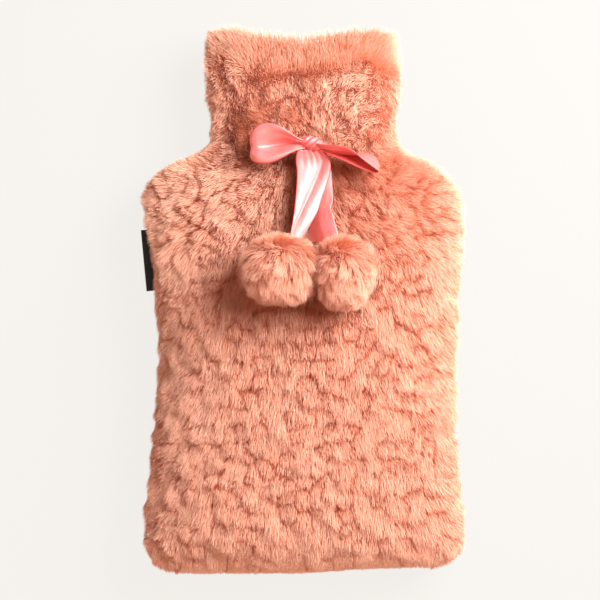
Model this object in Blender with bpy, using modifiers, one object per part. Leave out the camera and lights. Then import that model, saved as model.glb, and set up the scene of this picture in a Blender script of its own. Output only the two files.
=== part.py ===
"""Cover for a hot water bottle, in long plush pile cloth, lying on its back.

A front and a back panel are sewn together at the sides and the bottom, and the
neck is open at its top, where the bottle goes in. A satin ribbon tied in a bow
sits at the foot of the neck, with a pompom on each tail, and a folded label is
caught in the left side seam.

Frame: +Y runs from the bottom seam to the mouth, +X to the right of someone who
looks at the front, +Z up from the surface that the back lies on. The origin is
the middle of the flat of the back. Lengths are in metres.
"""

import bisect
import math

import bmesh
import bpy
from mathutils import Vector

MM = 0.001

# The whole cover, measured to the tips of the pile.
LENGTH = 375 * MM  # bottom edge to the middle of the mouth
REST_AT = 165 * MM  # from the bottom edge to the origin
SEAM_HEIGHT = 30 * MM  # the side seams, above the surface
SEAM_GAP = 0.3 * MM
WALL = 10 * MM  # backing and pile together
EAR_LIFT = 4.5 * MM  # how far the mouth's corners stand above its middle
HEM_LIFT = 4.0 * MM  # how far the bottom edge runs up towards its right corner
BOTTOM_CORNER = 24 * MM
BOTTOM_ROUND = 28 * MM
MOUTH_CORNER = 16 * MM
MOUTH_ROUND = 8 * MM
MOUTH_DRAW = 7.5 * MM  # how far each side of the opening is drawn in
SIDE_POWER = 2.9  # how square the cross-section is, across and upwards
CROWN_POWER = 2.3

# One row for each section of the cover, in millimetres: how far it is along the
# cover, half its width, and how far it rises above the seams and sinks below them.
SECTION_COLUMNS = ("along", "half_width", "rise", "sink")
SECTIONS = (
    (0, 112.3, 29, 30),
    (35, 112.0, 33, 33),
    (70, 108.6, 36, 34),
    (110, 105.8, 37, 34.5),
    (165, 104.4, 37, 34.5),
    (205, 108.2, 35.5, 34),
    (237, 110.8, 33, 32),
    (262, 108.0, 30, 29),
    (276, 101.3, 27.5, 26.5),
    (287, 87.5, 25.5, 24),
    (293, 75.0, 24.5, 23),
    (300, 67.6, 23.8, 22),
    (313, 64.4, 23.2, 21),
    (337, 67.0, 23.2, 21),
    (357, 69.2, 24, 22),
    (380, 69.4, 24, 22),
)
FRONT_STEPS = 38  # faces across the front, and across the back
BACK_STEPS = 22
RING_STEP = 6.6 * MM
CAVITY_STEPS = 16
CAVITY_RINGS = 18
WELD = 0.03 * MM

# The bow, in the front's own plan: from the middle line and from the bottom edge.
KNOT_X = 5.8 * MM
KNOT_Y = 299 * MM
KNOT_SIZE = (7.0 * MM, 4.8 * MM, 5.4 * MM)
BOW_CLEARANCE = 2.2 * MM
KNOT_LIFT = 7.2 * MM  # its middle, above the pile
RIBBON_THICK = 1.0 * MM
RIBBON_STEPS = 6  # faces across the ribbon

# The left loop lies with its face up. In millimetres: reach from the knot, height
# above the pile, half the ribbon's width, depth of the pleat down its middle.
LOOP_COLUMNS = ("reach", "height", "half_width", "pleat")
LEFT_LOOP = (
    (-2, 9.6, 2.4, 0.6),
    (6, 11.6, 4.4, 1.8),
    (14, 13.6, 7.6, 2.8),
    (24, 15.2, 11.8, 3.0),
    (34, 15.0, 14.0, 2.2),
    (41, 12.4, 14.2, 1.2),
    (44.2, 8.0, 13.6, 0.6),
    (42, 4.4, 13.0, 0.3),
    (34, 3.0, 12.0, 0.2),
    (24, 3.8, 9.6, 0.4),
    (14, 6.4, 6.4, 0.6),
    (6, 8.0, 3.8, 0.5),
    (-3, 8.2, 2.2, 0.3),
)

# The right loop stands on its edge. In millimetres: place right of the knot and
# down from it, height of its lower edge above the pile, half the ribbon's width,
# and how far the ribbon leans towards the mouth, in degrees.
RIGHT_COLUMNS = ("right", "down", "edge", "half_width", "lean")
RIGHT_LOOP = (
    (-2, 0.6, 6.0, 1.8, 4),
    (7, 1.6, 6.6, 3.2, 12),
    (16, 4.0, 3.6, 7.2, 15),
    (27, 7.6, 1.8, 10.4, 17),
    (36, 11.0, 1.4, 11.6, 16),
    (42.5, 14.4, 1.4, 11.8, 12),
    (46.2, 18.4, 1.4, 11.4, 8),
    (43.6, 20.6, 1.6, 11.0, 6),
    (34, 17.6, 1.8, 10.4, 6),
    (24, 13.0, 4.4, 8.4, 6),
    (14, 8.4, 8.4, 4.8, 6),
    (6, 4.6, 8.6, 3.0, 5),
    (-2, 2.2, 7.0, 2.0, 4),
)

# The tails, in millimetres: place right of the middle line, distance from the
# bottom edge, height above the pile, half the ribbon's width, turn in degrees.
TAIL_COLUMNS = ("right", "along", "height", "half_width", "turn")
LEFT_TAIL = (
    (5.0, 298.2, 5.6, 4.2, 0),
    (3.8, 293.5, 5.4, 9.0, 2),
    (5.6, 286.0, 7.6, 11.4, 4),
    (6.4, 277.0, 9.8, 11.6, 5),
    (4.7, 265.0, 12.6, 10.6, 4),
    (1.5, 253.4, 15.0, 8.6, 0),
    (-0.8, 246.2, 16.2, 7.3, -4),
    (-4.0, 238.6, 17.0, 6.0, -8),
)
RIGHT_TAIL = (
    (7.6, 299.2, 2.9, 4.2, 0),
    (9.4, 293.5, 2.2, 8.6, 4),
    (10.2, 286.0, 3.4, 10.6, 10),
    (10.6, 277.0, 5.0, 11.4, 18),
    (11.2, 265.0, 7.6, 11.6, 32),
    (13.8, 253.4, 10.8, 11.6, 50),
    (16.6, 246.2, 12.8, 11.6, 62),
    (19.4, 239.6, 14.0, 11.4, 66),
)
TAIL_CROWN = 1.2 * MM  # how far a tail's middle stands over its edges

# The pompoms: middle in plan, half sizes, and the line where they press together.
POMPOM_LIFT = 21.5 * MM  # middle above the pile
POMPOM_FOOT = 2.3 * MM  # lowest lock above the pile
POMPOM_CORE = 0.56  # share of the size that is solid, under the locks
POMPOM_LEVELS = ((0.80, 0.86), (0.97, 0.46))  # how far out, and how wide a lock is
LEFT_POMPOM = (-17.6 * MM, 210.5 * MM)
LEFT_POMPOM_SIZE = (30.5 * MM, 27.5 * MM, 24.5 * MM)
RIGHT_POMPOM = (24.5 * MM, 209.0 * MM)
RIGHT_POMPOM_SIZE = (24.5 * MM, 28.5 * MM, 23.5 * MM)
PRESS_LINE = 11.4 * MM
PRESS_GAP = 0.8 * MM
PRESS_SHARPNESS = 14
DENT_DEPTH = 4.2 * MM  # how far the pompoms press into the pile
DENT_SPREAD = 21 * MM

# The side label: along the seam, out of it, and its slant.
LABEL_ALONG = 43 * MM
LABEL_OUT = 11.5 * MM
LABEL_THICK = 1.0 * MM
LABEL_X = -105.8 * MM
LABEL_Y = 218.4 * MM
LABEL_SLANT = math.radians(5.4)
LABEL_CLEARANCE = 0.3 * MM
NOTCH_DEPTH = 4 * MM  # how far the label presses the pile in beside it
NOTCH_ALONG = 26 * MM
NOTCH_UP = 14 * MM

# Lumps of the pile.
RIDGE_PITCH = 18 * MM
RIDGE_HEIGHT = 1.6 * MM
LUMP_PITCH = 27 * MM
LUMP_HEIGHT = 1.4 * MM

CORAL = (0.90, 0.42, 0.29, 1)
SATIN_PINK = (0.85, 0.40, 0.42, 1)
BLACK = (0.01, 0.01, 0.011, 1)


def remove_all():
    for obj in list(bpy.data.objects):
        bpy.data.objects.remove(obj)


def new_collection(name, hidden=False):
    collection = bpy.data.collections.new(name)
    collection.hide_render = hidden
    bpy.context.scene.collection.children.link(collection)
    return collection


def new_material(name, colour, roughness):
    material = bpy.data.materials.new(name)
    material.use_nodes = True
    shader = material.node_tree.nodes["Principled BSDF"]
    shader.inputs["Base Color"].default_value = colour
    shader.inputs["Roughness"].default_value = roughness
    shader.inputs["Metallic"].default_value = 0.0
    material.diffuse_color = colour
    return material


def rows_of(columns, table):
    return [dict(zip(columns, row, strict=True)) for row in table]


def smooth_step(value):
    value = min(1.0, max(0.0, value))
    return value * value * (3 - 2 * value)


def section_at(along):
    """(half width, rise, sink) of the cover at that distance from the bottom edge."""
    rows = rows_of(SECTION_COLUMNS, SECTIONS)
    places = [row["along"] * MM for row in rows]
    along = min(places[-1], max(places[0], along))
    after = min(len(rows) - 1, max(1, bisect.bisect_right(places, along)))
    before = after - 1
    span = places[after] - places[before]
    share = (along - places[before]) / span
    found = []
    for column in SECTION_COLUMNS[1:]:
        values = [row[column] * MM for row in rows]

        def slope(i, values=values):
            low, high = max(0, i - 1), min(len(rows) - 1, i + 1)
            return (values[high] - values[low]) / (places[high] - places[low])

        start, end = values[before], values[after]
        leave, arrive = slope(before) * span, slope(after) * span
        s2, s3 = share * share, share * share * share
        found.append(
            start * (2 * s3 - 3 * s2 + 1)
            + leave * (s3 - 2 * s2 + share)
            + end * (3 * s2 - 2 * s3)
            + arrive * (s3 - s2)
        )
    return found


def rounding(distance, radius):
    """1 where an edge is further away than its radius, and 0 at the edge, on an arc."""
    if distance >= radius:
        return 1.0
    return math.sqrt(max(0.0, 1 - ((radius - distance) / radius) ** 2))


def outer_section(along):
    """The section with its ends rounded off."""
    half, rise, sink = section_at(along)
    from_mouth = LENGTH - along
    half -= BOTTOM_CORNER * (1 - rounding(along, BOTTOM_CORNER))
    half -= MOUTH_CORNER * (1 - rounding(from_mouth + 1.2 * MM, MOUTH_CORNER))
    thin = rounding(along + 0.5 * MM, BOTTOM_ROUND)
    lip = MOUTH_ROUND * (1 - rounding(from_mouth, MOUTH_ROUND))
    return half, rise * thin - lip, sink * thin - lip


def cavity_section(along):
    """The hollow's own section, a wall's thickness inside the outer one."""
    half, rise, sink = section_at(along)
    start = 1.2 * WALL
    shrink = BOTTOM_CORNER * (1 - rounding(along - start, BOTTOM_CORNER))
    shrink += MOUTH_DRAW * smooth_step((along - LENGTH + 30 * MM) / (30 * MM))
    thin = rounding(along - start + 0.5 * MM, BOTTOM_ROUND)
    sink = min(sink, SEAM_HEIGHT)
    return half - WALL - shrink, (rise - WALL) * thin, (sink - WALL) * thin


def arc_points(half, height, steps):
    """Evenly spaced points along one half of a section, from +X over to -X.

    The first and the last are half a step from the seams, which so cut clean faces.
    """
    fine = 240
    curve = []
    for i in range(fine + 1):
        angle = math.pi * i / fine
        across, up = math.cos(angle), math.sin(angle)
        x = math.copysign(abs(across) ** (2 / SIDE_POWER), across) * half
        curve.append((x, abs(up) ** (2 / CROWN_POWER) * height))
    lengths = [0.0]
    for first, second in zip(curve, curve[1:]):
        lengths.append(lengths[-1] + math.dist(first, second))
    points = []
    for step in range(steps):
        wanted = lengths[-1] * (step + 0.5) / steps
        i = min(fine, max(1, bisect.bisect_left(lengths, wanted)))
        share = (wanted - lengths[i - 1]) / (lengths[i] - lengths[i - 1])
        first, second = curve[i - 1], curve[i]
        points.append(
            (
                first[0] + (second[0] - first[0]) * share,
                first[1] + (second[1] - first[1]) * share,
            )
        )
    return points


def ring(along, half, rise, sink, over_steps, under_steps):
    """One closed ring: over the front from right to left, and back under."""
    over = arc_points(half, rise, over_steps)
    under = arc_points(half, sink, under_steps)
    points = [Vector((x, along, SEAM_HEIGHT + z)) for x, z in over]
    for x, z in reversed(under):
        points.append(Vector((x, along, max(0.0, SEAM_HEIGHT - z))))
    return points


def front_height(x, along):
    """Height of the front over a point, before the pile's lumps."""
    half, rise, _ = outer_section(along)
    share = min(1.0, abs(x) / half)
    return SEAM_HEIGHT + rise * (1 - share**SIDE_POWER) ** (1 / CROWN_POWER)


def bow_ground(x, along):
    """Height over a point that the bow's heights are counted from, above the lumps."""
    return front_height(x, along) + BOW_CLEARANCE


def dent(x, along):
    """How far the pompoms and the tails press the pile down at a point."""
    depth = 0.0
    for middle in (LEFT_POMPOM, RIGHT_POMPOM):
        away = math.dist((x, along), middle) / DENT_SPREAD
        depth = max(depth, DENT_DEPTH * math.exp(-(away**4)))
    return depth


def lumps(x, along, z):
    """Height of the pile's uneven surface at a point, over its mean."""
    turn = 2 * math.pi
    side = x + (z - SEAM_HEIGHT)
    wander = 5 * MM * math.sin(turn * side / (71 * MM) + along / (34 * MM))
    wander += 3 * MM * math.sin(turn * side / (39 * MM) - along / (23 * MM))
    ridge = math.sin(turn * (along + wander) / RIDGE_PITCH)
    swirl = 7 * MM * math.sin(turn * along / (47 * MM) + side / (29 * MM))
    lump = math.sin(turn * (side + swirl) / LUMP_PITCH + ridge)
    broad = math.sin(turn * side / (83 * MM) + 1.3) * math.sin(
        turn * along / (97 * MM) + 0.4
    )
    fade = 0.55 + 0.45 * lump
    return RIDGE_HEIGHT * ridge * fade + LUMP_HEIGHT * (0.6 * lump + 0.6 * broad)


def notch(along, z):
    """How far the label presses the left edge in at a point."""
    far_along = (along - LABEL_Y) / NOTCH_ALONG
    far_up = (z - SEAM_HEIGHT) / NOTCH_UP
    return NOTCH_DEPTH * math.exp(-(far_along**4) - far_up**2)


def mesh_object(name, bm, collection):
    """An object of triangles, which stay flat where they are cut."""
    bmesh.ops.triangulate(bm, faces=bm.faces)
    mesh = bpy.data.meshes.new(name)
    bm.to_mesh(mesh)
    bm.free()
    obj = bpy.data.objects.new(name, mesh)
    collection.objects.link(obj)
    return obj


def loft(name, rings, collection):
    """A closed solid through rings of equal count, with flat ends."""
    bm = bmesh.new()
    loops = [[bm.verts.new(point) for point in points] for points in rings]
    count = len(rings[0])
    for first, second in zip(loops, loops[1:]):
        for i in range(count):
            j = (i + 1) % count
            bm.faces.new((first[i], second[i], second[j], first[j]))
    bm.faces.new(loops[0])
    bm.faces.new(reversed(loops[-1]))
    bmesh.ops.recalc_face_normals(bm, faces=bm.faces)
    return mesh_object(name, bm, collection)


def ring_places():
    """Where the rings lie: evenly along the cover, and closer at its two ends."""
    places = [0.0, 1.2 * MM, 4 * MM, 8.5 * MM, 14 * MM, 20 * MM]
    last = LENGTH - MOUTH_ROUND
    steps = round((last - places[-1]) / RING_STEP)
    start = places[-1]
    places += [start + (last - start) * i / steps for i in range(1, steps + 1)]
    places += [last + MOUTH_ROUND * share for share in (0.4, 0.75, 0.95, 1.0)]
    return places


def pile_move(vert):
    """How far the pile's lumps, the pompoms and the label move a point."""
    x, along, z = vert.co
    calm = smooth_step(along / (12 * MM)) * smooth_step((LENGTH - along) / (14 * MM))
    move = vert.normal * lumps(x, along, z) * calm
    if z > SEAM_HEIGHT:
        move.z -= dent(x, along)
    if x < 0:
        move.x += notch(along, z)
    return move


def cover_form(collection):
    """The outer form of both panels together, with the pile's lumps."""
    rings = []
    for along in ring_places():
        half, rise, sink = outer_section(along)
        rings.append(ring(along, half, rise, sink, FRONT_STEPS, BACK_STEPS))
    form = loft("cover_form", rings, collection)
    bm = bmesh.new()
    bm.from_mesh(form.data)
    bm.normal_update()
    moves = [pile_move(vert) for vert in bm.verts]
    for vert, move in zip(bm.verts, moves):
        vert.co += move
        half, _, _ = section_at(vert.co.y)
        share = max(-1.0, min(1.0, vert.co.x / half))
        ear = smooth_step((vert.co.y - (LENGTH - 45 * MM)) / (45 * MM))
        hem = 1 - smooth_step(vert.co.y / (60 * MM))
        vert.co.y += EAR_LIFT * ear * abs(share) ** 2.5
        vert.co.y += HEM_LIFT * hem * smooth_step(0.2 + share)
        if vert.co.z < 0.8 * MM:
            vert.co.z = 0.0
        vert.co.y -= REST_AT
    bm.to_mesh(form.data)
    bm.free()
    return form


def cavity_cutter(collection):
    start = 1.2 * WALL
    end = LENGTH + 25 * MM
    rings = []
    for i in range(CAVITY_RINGS + 1):
        share = i / CAVITY_RINGS
        along = start + (end - start) * share**1.25
        half, rise, sink = cavity_section(along)
        points = ring(along, half, rise, sink, CAVITY_STEPS, CAVITY_STEPS)
        rings.append([point - Vector((0, REST_AT, 0)) for point in points])
    return loft("cavity_cutter", rings, collection)


def box(name, low, high, collection):
    bm = bmesh.new()
    bmesh.ops.create_cube(bm, size=1)
    middle = (Vector(low) + Vector(high)) / 2
    size = Vector(high) - Vector(low)
    for vert in bm.verts:
        vert.co = Vector(a * b for a, b in zip(vert.co, size)) + middle
    return mesh_object(name, bm, collection)


def apply_modifiers(obj):
    """The object's own mesh becomes the evaluated one."""
    graph = bpy.context.evaluated_depsgraph_get()
    mesh = bpy.data.meshes.new_from_object(obj.evaluated_get(graph))
    obj.modifiers.clear()
    obj.data = mesh


def add_boolean(obj, other, operation):
    modifier = obj.modifiers.new(operation.lower(), "BOOLEAN")
    modifier.operation = operation
    modifier.solver = "EXACT"
    modifier.object = other


def add_weld(obj):
    """Joins the points that a cut leaves closer together than the weld."""
    modifier = obj.modifiers.new("weld", "WELD")
    modifier.merge_threshold = WELD


def make_panels(parts, helpers, materials, slot_cutter):
    form = cover_form(helpers)
    cavity = cavity_cutter(helpers)
    reach = 0.4
    middle = SEAM_HEIGHT
    under = box(
        "under_cutter",
        (-reach, -reach, middle - reach),
        (reach, reach, middle + SEAM_GAP / 2),
        helpers,
    )
    over = box(
        "over_cutter",
        (-reach, -reach, middle - SEAM_GAP / 2),
        (reach, reach, middle + reach),
        helpers,
    )
    for name, cutter in (("front", under), ("back", over)):
        panel = form.copy()
        panel.data = form.data.copy()
        panel.name = name + "_panel"
        parts.objects.link(panel)
        for other in (cavity, cutter, slot_cutter):
            add_boolean(panel, other, "DIFFERENCE")
        add_weld(panel)
        panel.data.materials.append(materials[name])
        panel.data.shade_smooth()
        panel.data.set_sharp_from_angle(angle=math.radians(50))


def make_label(parts, helpers, material):
    """The label's folded strip, and a cutter that leaves it a slot in the seam."""
    made = []
    for name, grow, collection in (
        ("side_label", 0.0, parts),
        ("label_slot", LABEL_CLEARANCE, helpers),
    ):
        size = Vector((LABEL_OUT, LABEL_ALONG, LABEL_THICK)) / 2
        size += Vector((grow, grow, grow))
        obj = box(name, -size, size, collection)
        obj.location = (LABEL_X, LABEL_Y - REST_AT, SEAM_HEIGHT)
        obj.rotation_euler = (0, 0, LABEL_SLANT)
        made.append(obj)
    label, slot = made
    fold = label.modifiers.new("soft_fold", "BEVEL")
    fold.width = 0.35 * MM
    fold.segments = 2
    fold.limit_method = "ANGLE"
    label.data.materials.append(material)
    return slot


def strip(name, rows, collection):
    """A ribbon through rows of points, given its thickness and closed."""
    bm = bmesh.new()
    lines = [[bm.verts.new(point) for point in row] for row in rows]
    for first, second in zip(lines, lines[1:]):
        for i in range(len(first) - 1):
            bm.faces.new((first[i], first[i + 1], second[i + 1], second[i]))
    obj = mesh_object(name, bm, collection)
    wall = obj.modifiers.new("thickness", "SOLIDIFY")
    wall.thickness = RIBBON_THICK
    wall.offset = 0
    wall.use_even_offset = True
    apply_modifiers(obj)
    return obj


def across():
    """Shares from one edge of the ribbon to the other."""
    return [2 * i / RIBBON_STEPS - 1 for i in range(RIBBON_STEPS + 1)]


def left_loop(collection):
    ground = bow_ground(-15 * MM, KNOT_Y)
    rows = []
    for row in rows_of(LOOP_COLUMNS, LEFT_LOOP):
        line = []
        for share in across():
            fold = row["pleat"] * MM * math.cos(math.pi * share) * 0.5
            line.append(
                Vector(
                    (
                        KNOT_X - row["reach"] * MM,
                        KNOT_Y - REST_AT + share * row["half_width"] * MM,
                        ground + row["height"] * MM - fold,
                    )
                )
            )
        rows.append(line)
    return strip("left_loop", rows, collection)


def right_loop(collection):
    rows = []
    for row in rows_of(RIGHT_COLUMNS, RIGHT_LOOP):
        x = KNOT_X + row["right"] * MM
        along = KNOT_Y - row["down"] * MM
        lean = math.radians(row["lean"])
        ground = max(bow_ground(x, along), bow_ground(x, along - 5 * MM))
        foot = Vector((x, along - REST_AT, ground + row["edge"] * MM))
        up = Vector((0, math.sin(lean), math.cos(lean)))
        rows.append(
            [foot + up * row["half_width"] * MM * (1 + share) for share in across()]
        )
    return strip("right_loop", rows, collection)


def tail(name, table, collection):
    rows = []
    for row in rows_of(TAIL_COLUMNS, table):
        x, along = row["right"] * MM, row["along"] * MM
        turn = math.radians(row["turn"])
        ground = bow_ground(x, along)
        side = Vector((math.cos(turn), 0, math.sin(turn)))
        middle = Vector((x, along - REST_AT, ground + row["height"] * MM))
        line = []
        for share in across():
            crown = Vector((0, 0, TAIL_CROWN * (1 - share * share)))
            line.append(middle + side * share * row["half_width"] * MM + crown)
        rows.append(line)
    return strip(name, rows, collection)


def knot(collection):
    bm = bmesh.new()
    bmesh.ops.create_uvsphere(bm, u_segments=14, v_segments=9, radius=1)
    height = bow_ground(KNOT_X, KNOT_Y) + KNOT_LIFT
    for vert in bm.verts:
        angle = math.atan2(vert.co.z, vert.co.y)
        swell = 1 + 0.07 * math.sin(3 * angle + 4 * vert.co.x)
        x, y, z = (a * b * swell for a, b in zip(vert.co, KNOT_SIZE))
        vert.co = (x + KNOT_X, y - 0.28 * x + KNOT_Y - REST_AT, z + height)
    return mesh_object("knot", bm, collection)


def make_bow(parts, helpers, material):
    """One length of ribbon: its tied middle, its loops and its tails, as one solid."""
    bow = knot(parts)
    bow.name = "ribbon_bow"
    pieces = (
        left_loop(helpers),
        right_loop(helpers),
        tail("left_tail", LEFT_TAIL, helpers),
        tail("right_tail", RIGHT_TAIL, helpers),
    )
    for piece in pieces:
        add_boolean(bow, piece, "UNION")
    add_weld(bow)
    bow.data.materials.append(material)
    bow.data.shade_smooth()


def pompom_reach(way, size, wall, foot, side):
    """Distance from a pompom's middle to its surface, with two sides pressed flat."""
    limits = [1 / math.sqrt(sum((a / b) ** 2 for a, b in zip(way, size)))]
    if side * way.x < 0:
        limits.append(wall / way.x)
    if way.z < 0:
        limits.append(foot / way.z)
    inverse = sum((1 / limit) ** PRESS_SHARPNESS for limit in limits)
    return inverse ** (-1 / PRESS_SHARPNESS)


def make_pompom(name, middle, size, side, parts, material):
    """A ball of locks: each face of a round core is drawn out into one lock."""
    bm = bmesh.new()
    bmesh.ops.create_icosphere(bm, subdivisions=2, radius=POMPOM_CORE)
    faces = list(bm.faces)
    for out, width in POMPOM_LEVELS:
        faces = bmesh.ops.extrude_discrete_faces(bm, faces=faces)["faces"]
        for index, face in enumerate(faces):
            way = face.calc_center_median().normalized()
            sway = 0.05 * Vector(
                (math.sin(5 * way.y + 3 * way.z), math.sin(4 * way.z + 6 * way.x), 0)
            )
            length = out + 0.03 * math.sin(2.4 * index)
            for vert in face.verts:
                corner = way.lerp(vert.co.normalized(), width)
                vert.co = (corner + sway * out).normalized() * length
    ground = front_height(*middle) - DENT_DEPTH
    centre = Vector((middle[0], middle[1] - REST_AT, ground + POMPOM_LIFT))
    foot = POMPOM_FOOT - POMPOM_LIFT
    wall = PRESS_LINE + side * PRESS_GAP / 2 - centre.x
    for vert in bm.verts:
        share = vert.co.length
        way = vert.co / share
        vert.co = centre + way * share * pompom_reach(way, size, wall, foot, side)
    ball = mesh_object(name, bm, parts)
    ball.data.materials.append(material)
    ball.data.shade_smooth()
    ball.data.set_sharp_from_angle(angle=math.radians(60))


def main():
    remove_all()
    parts = new_collection("hot_water_bottle_cover")
    helpers = new_collection("helpers", hidden=True)
    plush = {
        name: new_material(name + "_pile", CORAL, 0.9)
        for name in ("front", "back", "left_pompom", "right_pompom")
    }
    satin = new_material("satin", SATIN_PINK, 0.35)
    woven = new_material("woven_black", BLACK, 0.7)
    slot = make_label(parts, helpers, woven)
    make_panels(parts, helpers, plush, slot)
    make_bow(parts, helpers, satin)
    make_pompom(
        "pompom_left", LEFT_POMPOM, LEFT_POMPOM_SIZE, -1, parts, plush["left_pompom"]
    )
    make_pompom(
        "pompom_right", RIGHT_POMPOM, RIGHT_POMPOM_SIZE, 1, parts, plush["right_pompom"]
    )
    for helper in helpers.objects:
        helper.hide_render = True
        helper.display_type = "WIRE"


main()
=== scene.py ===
import math

import bmesh
import bpy
import numpy as np
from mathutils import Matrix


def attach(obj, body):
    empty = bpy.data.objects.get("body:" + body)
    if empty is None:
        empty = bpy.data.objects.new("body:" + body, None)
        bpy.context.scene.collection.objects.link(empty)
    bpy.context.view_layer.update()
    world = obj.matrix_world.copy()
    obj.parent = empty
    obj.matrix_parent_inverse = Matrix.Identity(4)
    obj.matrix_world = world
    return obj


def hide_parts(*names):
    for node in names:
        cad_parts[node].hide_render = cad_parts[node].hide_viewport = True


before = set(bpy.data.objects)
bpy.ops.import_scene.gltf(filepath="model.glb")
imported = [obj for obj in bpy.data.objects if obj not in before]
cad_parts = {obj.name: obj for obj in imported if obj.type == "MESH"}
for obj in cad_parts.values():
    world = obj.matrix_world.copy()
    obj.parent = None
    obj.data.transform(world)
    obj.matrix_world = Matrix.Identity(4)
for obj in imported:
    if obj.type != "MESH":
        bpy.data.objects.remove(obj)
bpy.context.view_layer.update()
mm = 0.001
print("frame loaded")


def smoothStep(value):
    value = np.clip(value, 0.0, 1.0)
    return value * value * (3 - 2 * value)


def curveThrough(places, values, at):
    # a smooth curve through a table's values
    places, values = np.asarray(places, float), np.asarray(values, float)
    order = np.arange(len(places))
    low, high = np.maximum(order - 1, 0), np.minimum(order + 1, len(places) - 1)
    slopes = (values[high] - values[low]) / (places[high] - places[low])
    at = np.clip(at, places[0], places[-1])
    i = np.clip(np.searchsorted(places, at, side="right") - 1, 0, len(places) - 2)
    span = places[i + 1] - places[i]
    t = (at - places[i]) / span
    leave, arrive = slopes[i] * span, slopes[i + 1] * span
    begin = values[i] * (2 * t**3 - 3 * t**2 + 1) + leave * (t**3 - 2 * t**2 + t)
    return begin + values[i + 1] * (3 * t**2 - 2 * t**3) + arrive * (t**3 - t**2)


def hashed(i, j, seed):
    # a fixed random number from 0 to 1 for each square of a grid
    n = (np.asarray(i, np.int64) * 73856093) ^ (np.asarray(j, np.int64) * 19349663)
    n = (n ^ (seed * 83492791)) & 0xFFFFFFFF
    for shift, factor in ((16, 0x45D9F3B), (15, 0x2C1B3C6D)):
        n = ((n ^ (n >> shift)) * factor) & 0xFFFFFFFF
    n ^= n >> 16
    return n / 0xFFFFFFFF


def softNoise(x, y, pitch, seed):
    # smooth noise from -1 to 1
    x, y = x / pitch, y / pitch
    i, j = np.floor(x), np.floor(y)
    u, v = smoothStep(x - i), smoothStep(y - j)
    i, j = i.astype(np.int64), j.astype(np.int64)
    low = hashed(i, j, seed) * (1 - u) + hashed(i + 1, j, seed) * u
    high = hashed(i, j + 1, seed) * (1 - u) + hashed(i + 1, j + 1, seed) * u
    return 2 * (low * (1 - v) + high * v) - 1


def tufts(x, y, wide, high, seed, square=2.0, jitter=0.38):
    # Uneven cells in staggered rows, the squarer the higher the power: the way to the
    # cell's middle, the distance to its edge, a random number for the cell and one for
    # the edge that it shares.
    row = np.floor(y / high).astype(np.int64)
    best, second = np.full(x.shape, 1e9), np.full(x.shape, 1e9)
    wayX, wayY, own, other = (np.zeros(x.shape) for _ in range(4))
    for j in (row - 1, row, row + 1):
        shift = 0.5 * (j % 2) + 0.35 * hashed(j, j * 0 + 7, seed)
        column = np.floor(x / wide - shift).astype(np.int64)
        for i in (column - 1, column, column + 1):
            middleX = (i + shift + 0.5 + jitter * (2 * hashed(i, j, seed) - 1)) * wide
            middleY = (j + 0.5 + jitter * (2 * hashed(i, j, seed + 1) - 1)) * high
            far = np.abs((x - middleX) / wide) ** square + np.abs((y - middleY) / high) ** square
            far = far ** (1 / square)
            tag = hashed(i, j, seed + 2)
            nearest = far < best
            nextOne = ~nearest & (far < second)
            second = np.where(nearest, best, np.where(nextOne, far, second))
            other = np.where(nearest, own, np.where(nextOne, tag, other))
            best, own = np.where(nearest, far, best), np.where(nearest, tag, own)
            wayX = np.where(nearest, middleX - x, wayX)
            wayY = np.where(nearest, middleY - y, wayY)
    edge = (second - best) * 0.5 * math.sqrt(wide * high)
    return wayX, wayY, edge, own, (own + other) * 7.13 % 1


# The cover to the tips of its pile, in millimetres.
cover = {
    "length": 375,  # bottom edge to the middle of the mouth
    "restAt": 165,  # from the bottom edge to the middle of the frame
    "seamHeight": 30,
    "seamGap": 0.3,
    # how far the mouth stands above its middle, from the left corner to the right one
    "mouthLift": (
        (-1, 9.0),
        (-0.75, 8.0),
        (-0.43, 2.6),
        (0, -0.6),
        (0.4, 4.4),
        (0.7, 7.4),
        (1, 8.2),
    ),
    "mouthReach": 45,  # how far down its corners are drawn up
    "hemReach": 60,
    "hemLift": 4.0,  # how far the bottom edge runs up towards its right corner
    "hemDrop": 1.6,
    "bottomCorner": 24,
    "bottomRound": 28,
    "mouthCorner": 16,
    "sidePower": 2.9,  # how square a section is, across and upwards
    "crownPower": 2.3,
    # along, half width, rise over the seams, sink under them
    "sections": (
        (0, 112.3, 29, 30),
        (35, 112.0, 33, 33),
        (70, 108.6, 36, 34),
        (110, 105.8, 37, 34.5),
        (165, 104.4, 37, 34.5),
        (205, 108.2, 35.5, 34),
        (237, 110.8, 33, 32),
        (262, 108.0, 30, 29),
        (276, 101.3, 27.5, 26.5),
        (287, 87.0, 25.5, 24),
        (293, 73.4, 24.5, 23),
        (300, 66.6, 23.8, 22),
        (313, 64.4, 23.2, 21),
        (337, 67.0, 23.2, 21),
        (357, 69.2, 24, 22),
        (380, 69.4, 24, 22),
    ),
    # along, and how far the left and the right side stand out past the sections
    "sides": (
        (0, 0.5, 3.0),
        (60, 0.0, 1.5),
        (110, -1.0, 2.5),
        (160, -2.5, 5.0),
        (205, 0.0, 3.0),
        (250, 2.0, 3.0),
        (282, 6.0, 4.0),
        (300, 1.0, 2.0),
        (330, 2.5, 3.2),
        (360, 1.5, 0.0),
    ),
    "ridgePitch": 18,
    "ridgeHeight": 0.7,
    "lumpPitch": 27,
    "lumpHeight": 1.2,
    "edgeReach": 24,  # how far in from the side seams and the bottom the pile lies closer
    "hemClose": 20,
    "rimFrom": 6,  # the panels' last row below the edge of the mouth
    "backing": 2.0,  # thickness of the backing with the feet of its pile
    "backingUnder": 1.6,  # how far the backing lies below its pile's feet
}

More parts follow.
